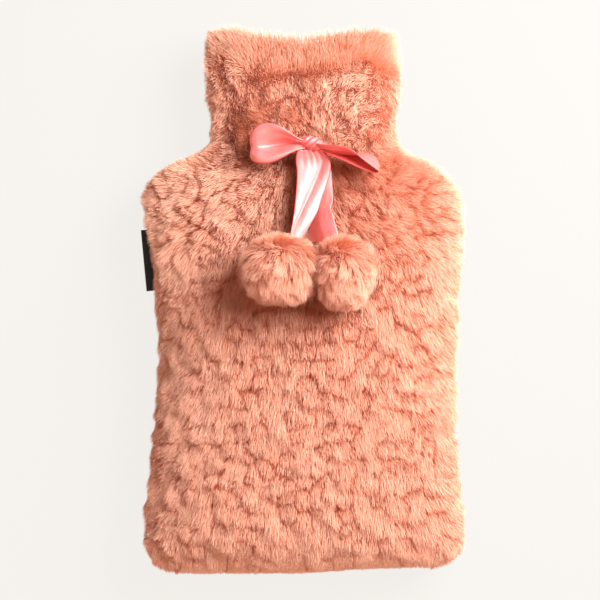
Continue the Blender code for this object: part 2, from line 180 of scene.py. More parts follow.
# The pompoms' middles (across, along), half sizes and sides. They dent the front panel.
pompoms = {
    "left": {"middle": (-15.6, 211.5), "size": (28.0, 26.0, 24.5), "side": -1},
    "right": {"middle": (27.0, 209.0), "size": (22.5, 27.5, 23.5), "side": 1},
}
press = {
    "lift": 21.5,  # a pompom's middle above the pile
    "foot": 2.3,
    "full": 2.4,  # 2 for an oval, more for fuller corners
    "line": 11.4,  # where the two press flat against each other
    "mix": 7.0,  # how far their pile runs into each other there
    "dentDepth": 4.2,
    "dentSpread": 21,
}
label = {
    "across": -105.8,
    "along": 218.4,
    "slant": 5.4,
    "size": (11.5, 43, 1.0),
    "layer": 0.42,
    "bendSteps": 9,
    "slices": 41,
    "sway": 0.35,
    "notchDepth": 4,  # how far it presses the pile in beside it
    "notchAlong": 26,
    "notchUp": 14,
}


def rounding(distance, radius):
    # 1 where an edge is further away than its radius, and 0 at the edge, on an arc
    inside = np.clip((radius - distance) / radius, 0, 1)
    return np.sqrt(1 - inside**2)


def sectionsAt(along):
    table = np.array(cover["sections"], float)
    half, rise, sink = (curveThrough(table[:, 0], table[:, k], along) for k in (1, 2, 3))
    half = half - cover["bottomCorner"] * (1 - rounding(along, cover["bottomCorner"]))
    toMouth = cover["length"] - along + 1.2
    half = half - cover["mouthCorner"] * (1 - rounding(toMouth, cover["mouthCorner"]))
    thin = rounding(along, cover["bottomRound"])
    return half, rise * thin, sink * thin


def sectionPoints(half, height, count):
    # evenly spaced points over each section, from the left seam to the right one
    angle = np.linspace(math.pi, 0, 241)
    across = np.sign(np.cos(angle)) * np.abs(np.cos(angle)) ** (2 / cover["sidePower"])
    up = np.abs(np.sin(angle)) ** (2 / cover["crownPower"])
    x, z, arc = (np.zeros((len(half), count)) for _ in range(3))
    for row, (wide, tall) in enumerate(zip(half, height)):
        steps = np.hypot(np.diff(across * wide), np.diff(up * tall))
        run = np.concatenate([[0], np.cumsum(steps)])
        wanted = np.linspace(0, run[-1], count)
        x[row] = np.interp(wanted, run, across * wide)
        z[row] = np.interp(wanted, run, up * tall)
        arc[row] = wanted - run[-1] / 2
    return x, z, arc


def gridNormals(points):
    across, along = np.gradient(points, axis=1), np.gradient(points, axis=0)
    normals = np.cross(across, along)
    return normals / np.maximum(np.linalg.norm(normals, axis=2, keepdims=True), 1e-9)


def lumps(x, along, z):
    # the pile's broad uneven surface, as the frame has it
    turn = 2 * math.pi
    side = x + (z - cover["seamHeight"])
    wander = 5 * np.sin(turn * side / 71 + along / 34)
    wander += 3 * np.sin(turn * side / 39 - along / 23)
    ridge = np.sin(turn * (along + wander) / cover["ridgePitch"])
    swirl = 7 * np.sin(turn * along / 47 + side / 29)
    lump = np.sin(turn * (side + swirl) / cover["lumpPitch"] + ridge)
    broad = np.sin(turn * side / 83 + 1.3) * np.sin(turn * along / 97 + 0.4)
    high = cover["ridgeHeight"] * ridge * (0.55 + 0.45 * lump)
    return high + cover["lumpHeight"] * (0.6 * lump + 0.6 * broad)


def panelSurface(side, alongs, count):
    # Points at the pile's tips, row by row from the bottom edge to the mouth. side is 1
    # for the front and -1 for the back.
    half, rise, sink = sectionsAt(alongs)
    x, up, arc = sectionPoints(half, rise if side > 0 else sink, count)
    up = up + cover["seamGap"] / 2
    z = np.maximum(cover["seamHeight"] + side * up, 0.0)
    along = np.broadcast_to(alongs[:, None], x.shape)
    points = np.stack([x, along, z], axis=2)
    if side > 0:
        for ball in pompoms.values():
            away = np.hypot(x - ball["middle"][0], along - ball["middle"][1])
            points[..., 2] -= press["dentDepth"] * np.exp(-((away / press["dentSpread"]) ** 4))
    farAlong = (along - label["along"]) / label["notchAlong"]
    farUp = (z - cover["seamHeight"]) / label["notchUp"]
    points[..., 0] += (x < 0) * label["notchDepth"] * np.exp(-(farAlong**4) - farUp**2)
    share = np.clip(x / np.maximum(half[:, None], 1), -1, 1)
    sides = np.array(cover["sides"], float)
    leftOut, rightOut = (curveThrough(sides[:, 0], sides[:, k], alongs)[:, None] for k in (1, 2))
    points[..., 0] += np.where(share < 0, -leftOut, rightOut) * np.abs(share) ** 1.5
    ear = smoothStep((along - (cover["length"] - cover["mouthReach"])) / cover["mouthReach"])
    hem = 1 - smoothStep(along / cover["hemReach"])
    lift = np.array(cover["mouthLift"], float)
    points[..., 1] += ear * curveThrough(lift[:, 0], lift[:, 1], share)
    points[..., 1] += hem * (cover["hemLift"] * smoothStep(0.2 + share) - cover["hemDrop"])
    points[..., 1] -= cover["restAt"]
    normals = side * gridNormals(points)
    calm = smoothStep(along / 12) * smoothStep((cover["length"] - along) / 14)
    points = points + normals * (lumps(x, along, z) * calm)[..., None]
    points[..., 2] = np.maximum(points[..., 2], 0.0)
    return points, normals, arc, along


def rowPlaces(step, last):
    # rows an even step apart over the rounded bottom edge and up to the mouth
    radius = cover["bottomRound"]
    turns = max(4, round(radius * math.pi / 2 / step))
    bend = radius * (1 - np.cos(np.linspace(0, math.pi / 2, turns, endpoint=False)))
    rows = max(4, round((last - radius) / step))
    return np.concatenate([bend, np.linspace(radius, last, rows)])


# How the pile lies, in millimetres and degrees.
pile = {
    "fanFrom": 338,  # the middle that the shoulders' tufts fan out from
    "lock": (2.3, 9.0),
    "lookAhead": 10,  # how far from a gap a strand begins to fall short of it
    "lookBehind": 8,
    # where each pattern begins, how wide its border is and how far that wanders
    "borders": {"shoulder": (205, 34, 1.5), "neck": (288, 16, 1.0), "mouth": (336, 28, 1.2)},
    "patches": (0.07, 26, 68),  # how much the tone drifts, over what pitch, and a seed
    "hem": (8, 30),  # the pile stands up from the bottom edge to here, and how that ends
    "hemStand": 0.4,
    "hemThick": 0.35,
}
patterns = {
    "body": {
        "tuft": (11.0, 11.5),
        "square": 5.0,  # 2 for a round tuft, more for a squarer one
        "warp": 0.5,  # how much the rows of tufts bend
        "lie": 6.2,  # how far a strand lies over, and how high it rises
        "over": 1.9,  # how far a tuft hangs over the next one
        "rise": 5.7,
        "uneven": 1.1,  # how much higher one tuft stands than another
        "closed": 0.42,  # share of the gaps that stay closed
        "level": 0.55,  # how far the gaps beside a tuft are closed too
        "gap": 0.44,  # half a gap's width
        "pale": 0.85,  # tone of a tuft, and how much darker a gap is, as painted shade
        "shade": 0.84,
        "locks": 0.06,  # how strongly fine locks gather
        "round": 0.26,  # how round a tuft takes the light
        "turns": 9,  # how far each tuft turns from its neighbours
        "wander": ((7, 40, 61), (4, 15, 62)),  # slow turns, their pitch and seed
        "seed": 21,
    },
    "shoulder": {
        "tuft": (8.2, 9.4),
        "square": 2.4,
        "warp": 0.7,
        "lie": 5.0,
        "over": 1.5,
        "rise": 5.9,
        "uneven": 1.6,
        "closed": 0.42,
        "level": 0.0,
        "gap": 0.56,
        # painted light: a paler tuft tone than the body's, against the shade among the more
        # upright strands
        "pale": 0.90,
        "shade": 0.62,
        "locks": 0.08,
        "round": 0.44,
        "turns": 26,
        "wander": ((22, 20, 63),),
        "seed": 31,
    },
    "neck": {
        "tuft": (7.8, 8.0),
        "square": 2.2,
        "warp": 1.2,
        "lie": 4.8,
        "over": 1.4,
        "rise": 5.9,
        "uneven": 1.8,
        "closed": 0.42,
        "level": 0.0,
        "gap": 0.58,
        # painted light: a paler tuft tone than the body's, against the shade among the more
        # upright strands
        "pale": 0.99,
        "shade": 0.56,
        "locks": 0.06,
        "round": 0.42,
        "turns": 30,
        "wander": ((56, 40, 64), (34, 16, 65)),
        "seed": 41,
    },
    "mouth": {
        "tuft": (15.0, 14.0),
        "square": 2.0,
        "warp": 1.0,
        "lie": 4.6,
        "over": 1.5,
        "rise": 5.7,
        "uneven": 0.8,
        "closed": 0.93,
        "level": 0.0,
        "gap": 0.6,
        "pale": 0.97,
        "shade": 0.1,
        "locks": 0.02,
        "round": 0.05,
        "turns": 12,
        "wander": ((16, 19, 66),),
        "seed": 71,
    },
}


def tuftAt(kind, x, y):
    # the tuft that a place belongs to
    look = patterns[kind]
    warpX = 4.5 * softNoise(x, y, 33, 11) + 2.2 * softNoise(x, y, 14, 12)
    warpY = 4.0 * softNoise(x, y, 29, 13) + 1.8 * softNoise(x, y, 12, 14)
    u, v = x + look["warp"] * warpX, y + look["warp"] * warpY
    if kind != "shoulder":
        return tufts(u, v, *look["tuft"], look["seed"], look["square"])
    radius = np.maximum(np.hypot(x, y - pile["fanFrom"]), 1)
    outX, outY = x / radius, (y - pile["fanFrom"]) / radius
    around = np.arctan2(outX, -outY) * 100
    u, v = around + look["warp"] * warpX, radius + look["warp"] * warpY
    wayU, wayV, edge, own, shared = tufts(u, v, *look["tuft"], look["seed"], look["square"])
    return wayV * outX - wayU * outY, wayV * outY + wayU * outX, edge, own, shared


def gapAhead(kind, x, y, wayX, wayY, last):
    # how far it is along a way to the next open gap, up to last
    _, _, _, own, _ = tuftAt(kind, x, y)
    far = np.full(x.shape, float(last))
    for step in np.arange(1, last, 1.0):
        _, _, _, tag, shared = tuftAt(kind, x + wayX * step, y + wayY * step)
        crossed = (tag != own) & (shared > patterns[kind]["closed"]) & (far >= last)
        far = np.where(crossed, step - 0.5, far)
        own = tag
    return far


def leanAt(x, y, zones, own):
    # the way that the pile lies, down the body, fanned over the shoulders, in swirls
    # on the neck and up at the mouth
    ways = {
        "body": -90,
        "shoulder": np.degrees(np.arctan2(y - pile["fanFrom"], x)),
        "neck": -90 - 0.35 * x,
        "mouth": 90 - 0.5 * x,
    }
    leanX, leanY = np.zeros(x.shape), np.zeros(x.shape)
    for kind, weight in zones.items():
        angle = ways[kind]
        for amount, pitch, seed in patterns[kind]["wander"]:
            angle = angle + amount * softNoise(x, y, pitch, seed)
        angle = np.radians(angle + patterns[kind]["turns"] * (own - 0.5))
        leanX, leanY = leanX + weight * np.cos(angle), leanY + weight * np.sin(angle)
    size = np.maximum(np.hypot(leanX, leanY), 0.7)
    return leanX / size, leanY / size


def strandsAt(kind, look, x, y, zones):
    # how the strands of one pattern stand at each place
    _, _, _, own, _ = tuftAt(kind, x, y)
    leanX, leanY = leanAt(x, y, zones, own)
    ahead = gapAhead(kind, x, y, leanX, leanY, pile["lookAhead"])
    behind = gapAhead(kind, x, y, -leanX, -leanY, pile["lookBehind"])
    start = look["over"] + 1.6 * look["gap"]
    stop = look["over"] - look["gap"]
    afterGap = start + (look["lie"] - start) * smoothStep(behind / (pile["lookBehind"] - 1))
    slow = 1.3 * (look["lie"] - stop)
    beforeGap = stop + (look["lie"] - stop) * (1 - np.exp(-ahead / slow))
    far = np.minimum(afterGap, beforeGap)
    shift = far - look["over"]
    wayX, wayY, edge, tag, shared = tuftAt(kind, x + leanX * shift, y + leanY * shift)
    size = np.maximum(np.hypot(wayX, wayY), 0.1)
    opened = smoothStep((shared - look["closed"]) / 0.12)
    across = np.abs(wayY) / look["tuft"][1] - np.abs(wayX) / look["tuft"][0]
    opened = opened * (1 - look["level"] * smoothStep(0.5 - 2 * across))
    near = np.exp(-((edge / look["gap"]) ** 2)) * opened
    broad = np.exp(-((edge / (2.6 * look["gap"])) ** 2)) * opened
    lockX, _, lockEdge, lockTag, _ = tufts(
        wayX * leanY - wayY * leanX + 97 * tag,
        wayX * leanX + wayY * leanY + 61 * tag,
        *pile["lock"],
        51,
    )
    half = 0.5 * math.sqrt(look["tuft"][0] * look["tuft"][1])
    return {
        "sweepX": leanX * far + wayX / size * look["gap"] * near - look["locks"] * lockX * leanY,
        "sweepY": leanY * far + wayY / size * look["gap"] * near + look["locks"] * lockX * leanX,
        "rise": look["rise"] * (1 - 0.22 * near - 0.1 * broad),
        "height": look["uneven"] * (tag - 0.5) - 0.8 * near,
        "near": near,
        # painted shade: the tone is darker in and around open gaps between tufts and along the
        # gaps between fine locks
        "tone": look["pale"]
        - look["shade"] * near
        - 0.08 * broad
        + 0.16 * (tag - 0.5)
        + (0.06 + 0.12 * look["locks"]) * 2 * (lockTag - 0.5)
        - 0.25 * look["locks"] * np.exp(-((lockEdge / 0.4) ** 2)),
        "skinX": -wayX / half * look["round"] - leanX * 0.10,
        "skinY": -wayY / half * look["round"] - leanY * 0.10,
    }


def pileFields(x, y):
    # For each point of a panel: how far and how high its strands reach, how their
    # ground is raised, and how light and how turned they look.
    wander = 5 * softNoise(x, y, 22, 15) + 3 * softNoise(x, y, 9, 16)

    def past(kind):
        begins, width, loose = pile["borders"][kind]
        return smoothStep((y + loose * wander - begins) / width)

    mouth = past("mouth")
    neck = past("neck") - mouth
    shoulder = past("shoulder") - neck - mouth
    body = 1 - shoulder - neck - mouth
    zones = {"body": body, "shoulder": shoulder, "neck": neck, "mouth": mouth}
    chosen = np.argmax(np.stack(list(zones.values())), axis=0)
    found = {}
    for k, (kind, look) in enumerate(patterns.items()):
        rows = np.where((chosen == k).any(axis=1))[0]
        cut = slice(rows[0], rows[-1] + 1)
        weights = {name: weight[cut] for name, weight in zones.items()}
        for name, value in strandsAt(kind, look, x[cut], y[cut], weights).items():
            whole = found.setdefault(name, np.zeros(x.shape))
            whole[cut] = np.where(chosen[cut] == k, value, whole[cut])
    drift, pitch, seed = pile["patches"]
    found["tone"] = np.clip(found["tone"] + drift * softNoise(x, y, pitch, seed), 0.04, 0.97)
    # painted light: the tone is raised along the parting where the neck meets the mouth, against
    # the shade there
    found["tone"] += 0.4 * mouth * (1 - mouth)
    # the pile stands up more where it turns round the bottom edge
    hem = 1 - smoothStep((y - pile["hem"][0]) / pile["hem"][1])
    found["sweepX"] *= 1 - pile["hemStand"] * hem
    found["sweepY"] *= 1 - pile["hemStand"] * hem
    # plant more strands where they spread apart, so that their tips stand evenly
    stepX, stepY = np.gradient(x, axis=1), np.gradient(y, axis=0)
    (xx, yx), (xy, yy) = (
        (np.gradient(found[k], axis=1) / stepX, np.gradient(found[k], axis=0) / stepY)
        for k in ("sweepX", "sweepY")
    )
    spread = np.sqrt(np.clip((1 + xx) * (1 + yy) - yx * xy, 0.5, 2.6))
    found["cover"] = spread * (1 - 0.3 * found.pop("near")) * (1 + pile["hemThick"] * hem)
    return found


def addObject(name, data):
    obj = bpy.data.objects.new(name, data)
    bpy.context.scene.collection.objects.link(obj)
    return obj


def dress(piece, node):
    # a visible piece takes the place of a solid of the frame, which lies still
    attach(piece, "root")
    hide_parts(node)


def movePoints(mesh, points):
    mesh.vertices.foreach_set("co", (points * mm).ravel().astype(np.float32))


def meshFromGrid(name, points, side):
    # one face for each square of the grid, looking outwards
    rows, columns = points.shape[:2]
    first = (np.arange(rows - 1)[:, None] * columns + np.arange(columns - 1)).ravel()
    faces = np.stack([first, first + 1, first + columns + 1, first + columns], axis=1)
    if side < 0:
        faces = faces[:, ::-1]
    mesh = bpy.data.meshes.new(name)
    mesh.from_pydata([], [], [])
    mesh.vertices.add(rows * columns)
    movePoints(mesh, points)
    mesh.loops.add(len(faces) * 4)
    mesh.loops.foreach_set("vertex_index", faces.ravel().astype(np.int32))
    mesh.polygons.add(len(faces))
    mesh.polygons.foreach_set("loop_start", np.arange(len(faces), dtype=np.int32) * 4)
    mesh.update(calc_edges=True)
    mesh.validate()
    return addObject(name, mesh)


def closedTube(name, points):
    # rings of points joined along and closed at both ends
    rows, columns = points.shape[:2]
    faces = []
    for first in range(0, (rows - 1) * columns, columns):
        second = first + columns
        for j in range(columns):
            k = (j + 1) % columns
            faces.append((first + j, second + j, second + k, first + k))
    last = (rows - 1) * columns
    faces.append(tuple(range(columns)))
    faces.append(tuple(reversed(range(last, last + columns))))
    mesh = bpy.data.meshes.new(name)
    mesh.from_pydata((points * mm).reshape(-1, 3).tolist(), [], faces)
    return addObject(name, mesh)


def turned(x, y, z, degrees, middle):
    # turned in the plane of the cover and moved to its place
    turn = math.radians(degrees)
    across = x * math.cos(turn) - y * math.sin(turn) + middle[0]
    along = x * math.sin(turn) + y * math.cos(turn) + middle[1] - cover["restAt"]
    return np.stack([across, along, z + middle[2]], axis=2)


def setField(obj, name, values):
    # a number or a direction for each point of a mesh
    values = np.asarray(values, np.float32)
    vector = values.ndim > 1 and values.shape[-1] == 3
    kind, key = ("FLOAT_VECTOR", "vector") if vector else ("FLOAT", "value")
    attribute = obj.data.attributes.new(name, kind, "POINT")
    attribute.data.foreach_set(key, values.ravel())


def addNode(tree, kind, values=None, **settings):
    node = tree.nodes.new(kind)
    for key, value in settings.items():
        setattr(node, key, value)
    for key, value in (values or {}).items():
        socket = next(s for s in node.inputs if s.name == key and s.enabled)
        if isinstance(value, bpy.types.NodeSocket):
            tree.links.new(value, socket)
        else:
            socket.default_value = value
    return node


def outOf(node, name=None):
    return next(s for s in node.outputs if s.enabled and name in (None, s.name))


def fieldNode(tree, name, kind="FLOAT"):
    node = addNode(tree, "GeometryNodeInputNamedAttribute", {"Name": name}, data_type=kind)
    return outOf(node, "Attribute")


def mathNode(tree, operation, *values):
    node = addNode(tree, "ShaderNodeMath", operation=operation)
    for socket, value in zip(node.inputs, values):
        if isinstance(value, bpy.types.NodeSocket):
            tree.links.new(value, socket)
        else:
            socket.default_value = value
    return node.outputs[0]


def vectorNode(tree, operation, first, second=None, scale=None):
    node = addNode(tree, "ShaderNodeVectorMath", operation=operation)
    tree.links.new(first, node.inputs[0])
    if second is not None:
        tree.links.new(second, node.inputs[1])
    if scale is not None:
        tree.links.new(scale, node.inputs["Scale"])
    return node.outputs[0]


def storeNode(tree, geometry, name, value, kind="FLOAT", domain="POINT"):
    node = addNode(
        tree,
        "GeometryNodeStoreNamedAttribute",
        {"Geometry": geometry, "Name": name, "Value": value},
        data_type=kind,
        domain=domain,
    )
    return outOf(node)


def setMap(obj, u, v):
    # a map of the cloth in metres, across it and along it
    layer = obj.data.uv_layers.new(name="cloth")
    corner = np.zeros(len(obj.data.loops), np.int32)
    obj.data.loops.foreach_get("vertex_index", corner)
    flat = np.stack([np.ravel(u), np.ravel(v)], axis=1).astype(np.float32)
    layer.data.foreach_set("uv", flat[corner].ravel())


def buildWeaveGroup():
    # Rows of threads with crossings stepped from row to row: their height, a slow
    # unevenness from 0 to 1 that runs along the threads, and 1 at the two selvedges.
    tree = bpy.data.node_groups.new("clothWeave", "ShaderNodeTree")
    face = tree.interface
    face.new_socket("Place", in_out="INPUT", socket_type="NodeSocketVector")
    for name, value in (
        ("Threads Across", 4000.0),
        ("Crossings Along", 1500.0),
        ("Step", 0.4),
        ("Uneven Size", 60.0),
        ("Width", 10.0),
        ("Selvedge Width", 0.0007),
    ):
        socket = face.new_socket(name, in_out="INPUT", socket_type="NodeSocketFloat")
        socket.default_value = value
    for name in ("Height", "Unevenness", "Selvedge"):
        face.new_socket(name, in_out="OUTPUT", socket_type="NodeSocketFloat")
    given = addNode(tree, "NodeGroupInput").outputs
    place = addNode(tree, "ShaderNodeSeparateXYZ", {"Vector": given["Place"]}).outputs

    def rounded(value):
        # 0 between two threads and 1 on the middle of one
        turn = mathNode(tree, "MULTIPLY", value, math.pi)
        return mathNode(tree, "ABSOLUTE", mathNode(tree, "SINE", turn))

    row = mathNode(tree, "MULTIPLY", place["X"], given["Threads Across"])
    thread = rounded(row)
    stepped = mathNode(tree, "MULTIPLY", mathNode(tree, "FLOOR", row), given["Step"])
    crossing = mathNode(tree, "MULTIPLY_ADD", place["Y"], given["Crossings Along"], stepped)
    over = mathNode(tree, "MULTIPLY_ADD", rounded(crossing), 0.5, 0.5)
    height = mathNode(tree, "MULTIPLY", thread, over)
    along = mathNode(tree, "MULTIPLY", place["Y"], 0.3)
    stretched = addNode(tree, "ShaderNodeCombineXYZ", {"X": place["X"], "Y": along})
    noise = addNode(
        tree,
        "ShaderNodeTexNoise",
        {"Vector": outOf(stretched), "Scale": given["Uneven Size"], "Detail": 3.0},
    )
    half = mathNode(tree, "MULTIPLY", given["Width"], 0.5)
    fromMiddle = mathNode(tree, "ABSOLUTE", mathNode(tree, "SUBTRACT", place["X"], half))
    inwards = mathNode(tree, "SUBTRACT", half, given["Selvedge Width"])
    atEdge = mathNode(tree, "GREATER_THAN", fromMiddle, inwards)
    result = addNode(tree, "NodeGroupOutput")
    tree.links.new(atEdge, result.inputs["Selvedge"])
    tree.links.new(height, result.inputs["Height"])
    tree.links.new(noise.outputs[0], result.inputs["Unevenness"])
    return tree


weaveGroup = buildWeaveGroup()


def clothMaterial(name, look):
    # a woven or knitted cloth in two shades, with painted shade between its threads and its
    # threads as a fine bump
    material = bpy.data.materials.new(name)
    material.use_nodes = True
    tree = material.node_tree
    shader = tree.nodes["Principled BSDF"]
    for key, value in look["shader"].items():
        shader.inputs[key].default_value = value
    if look["mapped"]:
        place = addNode(tree, "ShaderNodeUVMap", uv_map="cloth").outputs[0]
    else:
        place = addNode(tree, "ShaderNodeTexCoord").outputs["Object"]
    weave = addNode(tree, "ShaderNodeGroup", node_tree=weaveGroup)
    tree.links.new(place, weave.inputs["Place"])
    for key, value in look["weave"].items():
        weave.inputs[key].default_value = value
    mix = addNode(tree, "ShaderNodeMix", data_type="RGBA")
    mix.inputs[6].default_value = (*look["dark"], 1)
    mix.inputs[7].default_value = (*look["light"], 1)
    shade = mathNode(tree, "MULTIPLY_ADD", weave.outputs["Unevenness"], 2.4, -0.7)
    # painted shade: the cloth is lighter on the tops of its threads and darker between them
    shade = mathNode(tree, "MULTIPLY_ADD", weave.outputs["Height"], look["paintedThreadShade"], shade)
    # the cloth is darker along its two edges
    shade = mathNode(tree, "MULTIPLY_ADD", weave.outputs["Selvedge"], -1.0, shade)
    held = addNode(tree, "ShaderNodeClamp", {"Value": shade})
    tree.links.new(outOf(held), mix.inputs[0])
    tree.links.new(mix.outputs[2], shader.inputs["Base Color"])
    rough = mathNode(tree, "MULTIPLY_ADD", outOf(held), -look["glossSpread"], look["roughness"])
    tree.links.new(rough, shader.inputs["Roughness"])
    threads, uneven = weave.outputs["Height"], weave.outputs["Unevenness"]
    creases = mathNode(tree, "MULTIPLY_ADD", uneven, look["creases"], threads)
    relief = {"Strength": look["bump"], "Distance": look["threadHeight"], "Height": creases}
    bump = addNode(tree, "ShaderNodeBump", relief)
    tree.links.new(bump.outputs[0], shader.inputs["Normal"])
    return material


def buildStrandTree():
    # Plants tapering strands on a mesh. Its points say how thickly they stand ("cover"),
    # which way they grow ("grow"), how long they are ("reach"), how far their tips sweep
    # ("sweep") and how light they are ("tone").
    tree = bpy.data.node_groups.new("pileStrands", "GeometryNodeTree")
    face = tree.interface
    face.new_socket("Geometry", in_out="INPUT", socket_type="NodeSocketGeometry")
    for name, kind, value in (
        ("Strands per Square Metre", "NodeSocketFloat", 1.5e6),
        ("Strand Width", "NodeSocketFloat", 0.0005),
        ("Length Spread", "NodeSocketFloat", 0.2),
        ("Sweep Spread", "NodeSocketFloat", 0.001),
        ("Tone Spread", "NodeSocketFloat", 0.08),
        ("Bend", "NodeSocketFloat", 1.6),
        ("Steps", "NodeSocketInt", 1),
        ("Seed", "NodeSocketInt", 1),
        ("Material", "NodeSocketMaterial", None),
    ):
        socket = face.new_socket(name, in_out="INPUT", socket_type=kind)
        if value is not None:
            socket.default_value = value
    face.new_socket("Geometry", in_out="OUTPUT", socket_type="NodeSocketGeometry")
    given = addNode(tree, "NodeGroupInput").outputs

    cone = addNode(
        tree,
        "GeometryNodeMeshCone",
        {"Vertices": 3, "Side Segments": given["Steps"], "Radius Bottom": 0.5, "Depth": 1.0},
        fill_type="NGON",
    )
    place = outOf(addNode(tree, "GeometryNodeInputPosition"))
    part = addNode(tree, "ShaderNodeSeparateXYZ", {"Vector": place}).outputs["Z"]
    # fuller than a plain cone half way up
    swell = mathNode(tree, "MULTIPLY_ADD", part, 0.9, 1.0)
    factor = addNode(tree, "ShaderNodeCombineXYZ", {"X": swell, "Y": swell, "Z": 1.0})
    shaped = vectorNode(tree, "MULTIPLY", place, outOf(factor))
    bent = {"Geometry": outOf(cone, "Mesh"), "Position": shaped}
    strand = outOf(addNode(tree, "GeometryNodeSetPosition", bent))
    aside = addNode(tree, "ShaderNodeSeparateXYZ", {"Vector": place}).outputs["X"]
    for name, value in (("part", part), ("aside", aside)):
        strand = storeNode(tree, strand, name, value)

    perArea = given["Strands per Square Metre"]
    density = mathNode(tree, "MULTIPLY", fieldNode(tree, "cover"), perArea)
    planted = addNode(
        tree,
        "GeometryNodeDistributePointsOnFaces",
        {"Mesh": given["Geometry"], "Density": density, "Seed": given["Seed"]},
        distribute_method="RANDOM",
    )
    points = outOf(planted, "Points")

    def spread(key, offset):
        low = mathNode(tree, "MULTIPLY", given[key], -1.0)
        values = {"Min": low, "Max": given[key], "Seed": offset}
        return outOf(addNode(tree, "FunctionNodeRandomValue", values, data_type="FLOAT"))

    longer = mathNode(tree, "ADD", spread("Length Spread", 2), 1.0)
    toned = mathNode(tree, "ADD", fieldNode(tree, "tone"), spread("Tone Spread", 3))
    for name, value in (("longer", longer), ("toned", toned)):
        points = storeNode(tree, points, name, value)
    stray = addNode(
        tree,
        "FunctionNodeRandomValue",
        {"Min": (-1, -1, -1), "Max": (1, 1, 1), "Seed": 4},
        data_type="FLOAT_VECTOR",
    )
    away = vectorNode(tree, "SCALE", outOf(stray), scale=given["Sweep Spread"])
    swept = vectorNode(tree, "ADD", fieldNode(tree, "sweep", "FLOAT_VECTOR"), away)
    points = storeNode(tree, points, "swept", swept, "FLOAT_VECTOR")
    anyTurn = {"Min": 0.0, "Max": 6.283, "Seed": 5}
    turn = addNode(tree, "FunctionNodeRandomValue", anyTurn, data_type="FLOAT")
    euler = addNode(tree, "ShaderNodeCombineXYZ", {"X": 0.0, "Y": 0.0, "Z": outOf(turn)})
    twist = addNode(tree, "FunctionNodeEulerToRotation", {"Euler": outOf(euler)})
    aligned = addNode(
        tree,
        "FunctionNodeAlignRotationToVector",
        {"Rotation": outOf(twist), "Vector": fieldNode(tree, "grow", "FLOAT_VECTOR")},
        axis="Z",
    )
    tall = mathNode(tree, "MULTIPLY", fieldNode(tree, "reach"), fieldNode(tree, "longer"))
    wide = given["Strand Width"]
    size = addNode(tree, "ShaderNodeCombineXYZ", {"X": wide, "Y": wide, "Z": tall})
    copies = addNode(
        tree,
        "GeometryNodeInstanceOnPoints",
        {
            "Points": points,
            "Instance": strand,
            "Rotation": outOf(aligned),
            "Scale": outOf(size),
        },
    )
    real = outOf(addNode(tree, "GeometryNodeRealizeInstances", {"Geometry": outOf(copies)}))
    up = fieldNode(tree, "part")
    curl = mathNode(tree, "POWER", up, given["Bend"])
    amount = mathNode(tree, "MULTIPLY", curl, fieldNode(tree, "longer"))
    offset = vectorNode(tree, "SCALE", fieldNode(tree, "swept", "FLOAT_VECTOR"), scale=amount)
    real = outOf(addNode(tree, "GeometryNodeSetPosition", {"Geometry": real, "Offset": offset}))
    # a strand has a little width on the map
    toned = fieldNode(tree, "toned")
    around = mathNode(tree, "MULTIPLY_ADD", fieldNode(tree, "aside"), 0.03, toned)
    held = addNode(tree, "ShaderNodeClamp", {"Value": around, "Min": 0.01, "Max": 0.99})
    toneMap = addNode(tree, "ShaderNodeCombineXYZ", {"X": outOf(held), "Y": up})
    real = storeNode(tree, real, "OFBake", outOf(toneMap), "FLOAT2", "CORNER")
    soft = addNode(
        tree,
        "GeometryNodeSetMeshNormal",
        {"Mesh": real, "Custom Normal": fieldNode(tree, "skin", "FLOAT_VECTOR")},
        mode="FREE",
        domain="POINT",
    )
    real = outOf(soft)
    for name in "part aside longer toned swept cover grow reach sweep tone skin".split():
        spent = {"Geometry": real, "Name": name}
        real = outOf(addNode(tree, "GeometryNodeRemoveAttribute", spent))
    finish = {"Geometry": real, "Material": given["Material"]}
    real = outOf(addNode(tree, "GeometryNodeSetMaterial", finish))
    result = addNode(tree, "NodeGroupOutput")
    tree.links.new(real, result.inputs[0])
    return tree


strandTree = buildStrandTree()


def plantStrands(name, ground, values):
    # the strands as a plain mesh of their own, and the ground taken away
    modifier = ground.modifiers.new("strands", "NODES")
    modifier.node_group = strandTree
    face = strandTree.interface.items_tree
    sockets = {socket.name: socket.identifier for socket in face if socket.in_out == "INPUT"}
    for key, value in values.items():
        modifier[sockets[key]] = value
    graph = bpy.context.evaluated_depsgraph_get()
    mesh = bpy.data.meshes.new_from_object(ground.evaluated_get(graph))
    mesh.name = name
    obj = addObject(name, mesh)
    bpy.data.objects.remove(ground)
    print(name, len(mesh.polygons), "faces")
    return obj


def pileMaterial(name, look):
    # "OFBake" holds a strand's tone across and the way from root to tip upwards
    material = bpy.data.materials.new(name)
    material.use_nodes = True
    tree = material.node_tree
    shader = tree.nodes["Principled BSDF"]
    for key, value in look["shader"].items():
        shader.inputs[key].default_value = value
    uv = addNode(tree, "ShaderNodeUVMap", uv_map="OFBake")
    parts = addNode(tree, "ShaderNodeSeparateXYZ", {"Vector": uv.outputs[0]})
    ramps = []
    for key, socket in (("alongStrand", "Y"), ("tone", "X")):
        ramp = addNode(tree, "ShaderNodeValToRGB", {"Fac": parts.outputs[socket]})
        stops = look[key]
        while len(ramp.color_ramp.elements) < len(stops):
            ramp.color_ramp.elements.new(0.5)
        for element, (place, colour) in zip(ramp.color_ramp.elements, stops):
            element.position = place
            element.color = (*colour, 1)
        ramps.append(ramp.outputs["Color"])
    mix = addNode(tree, "ShaderNodeMix", data_type="RGBA", blend_type="MULTIPLY")
    mix.inputs["Factor"].default_value = 1.0
    tree.links.new(ramps[0], mix.inputs[6])
    tree.links.new(ramps[1], mix.inputs[7])
    tree.links.new(mix.outputs[2], shader.inputs["Base Color"])
    return material
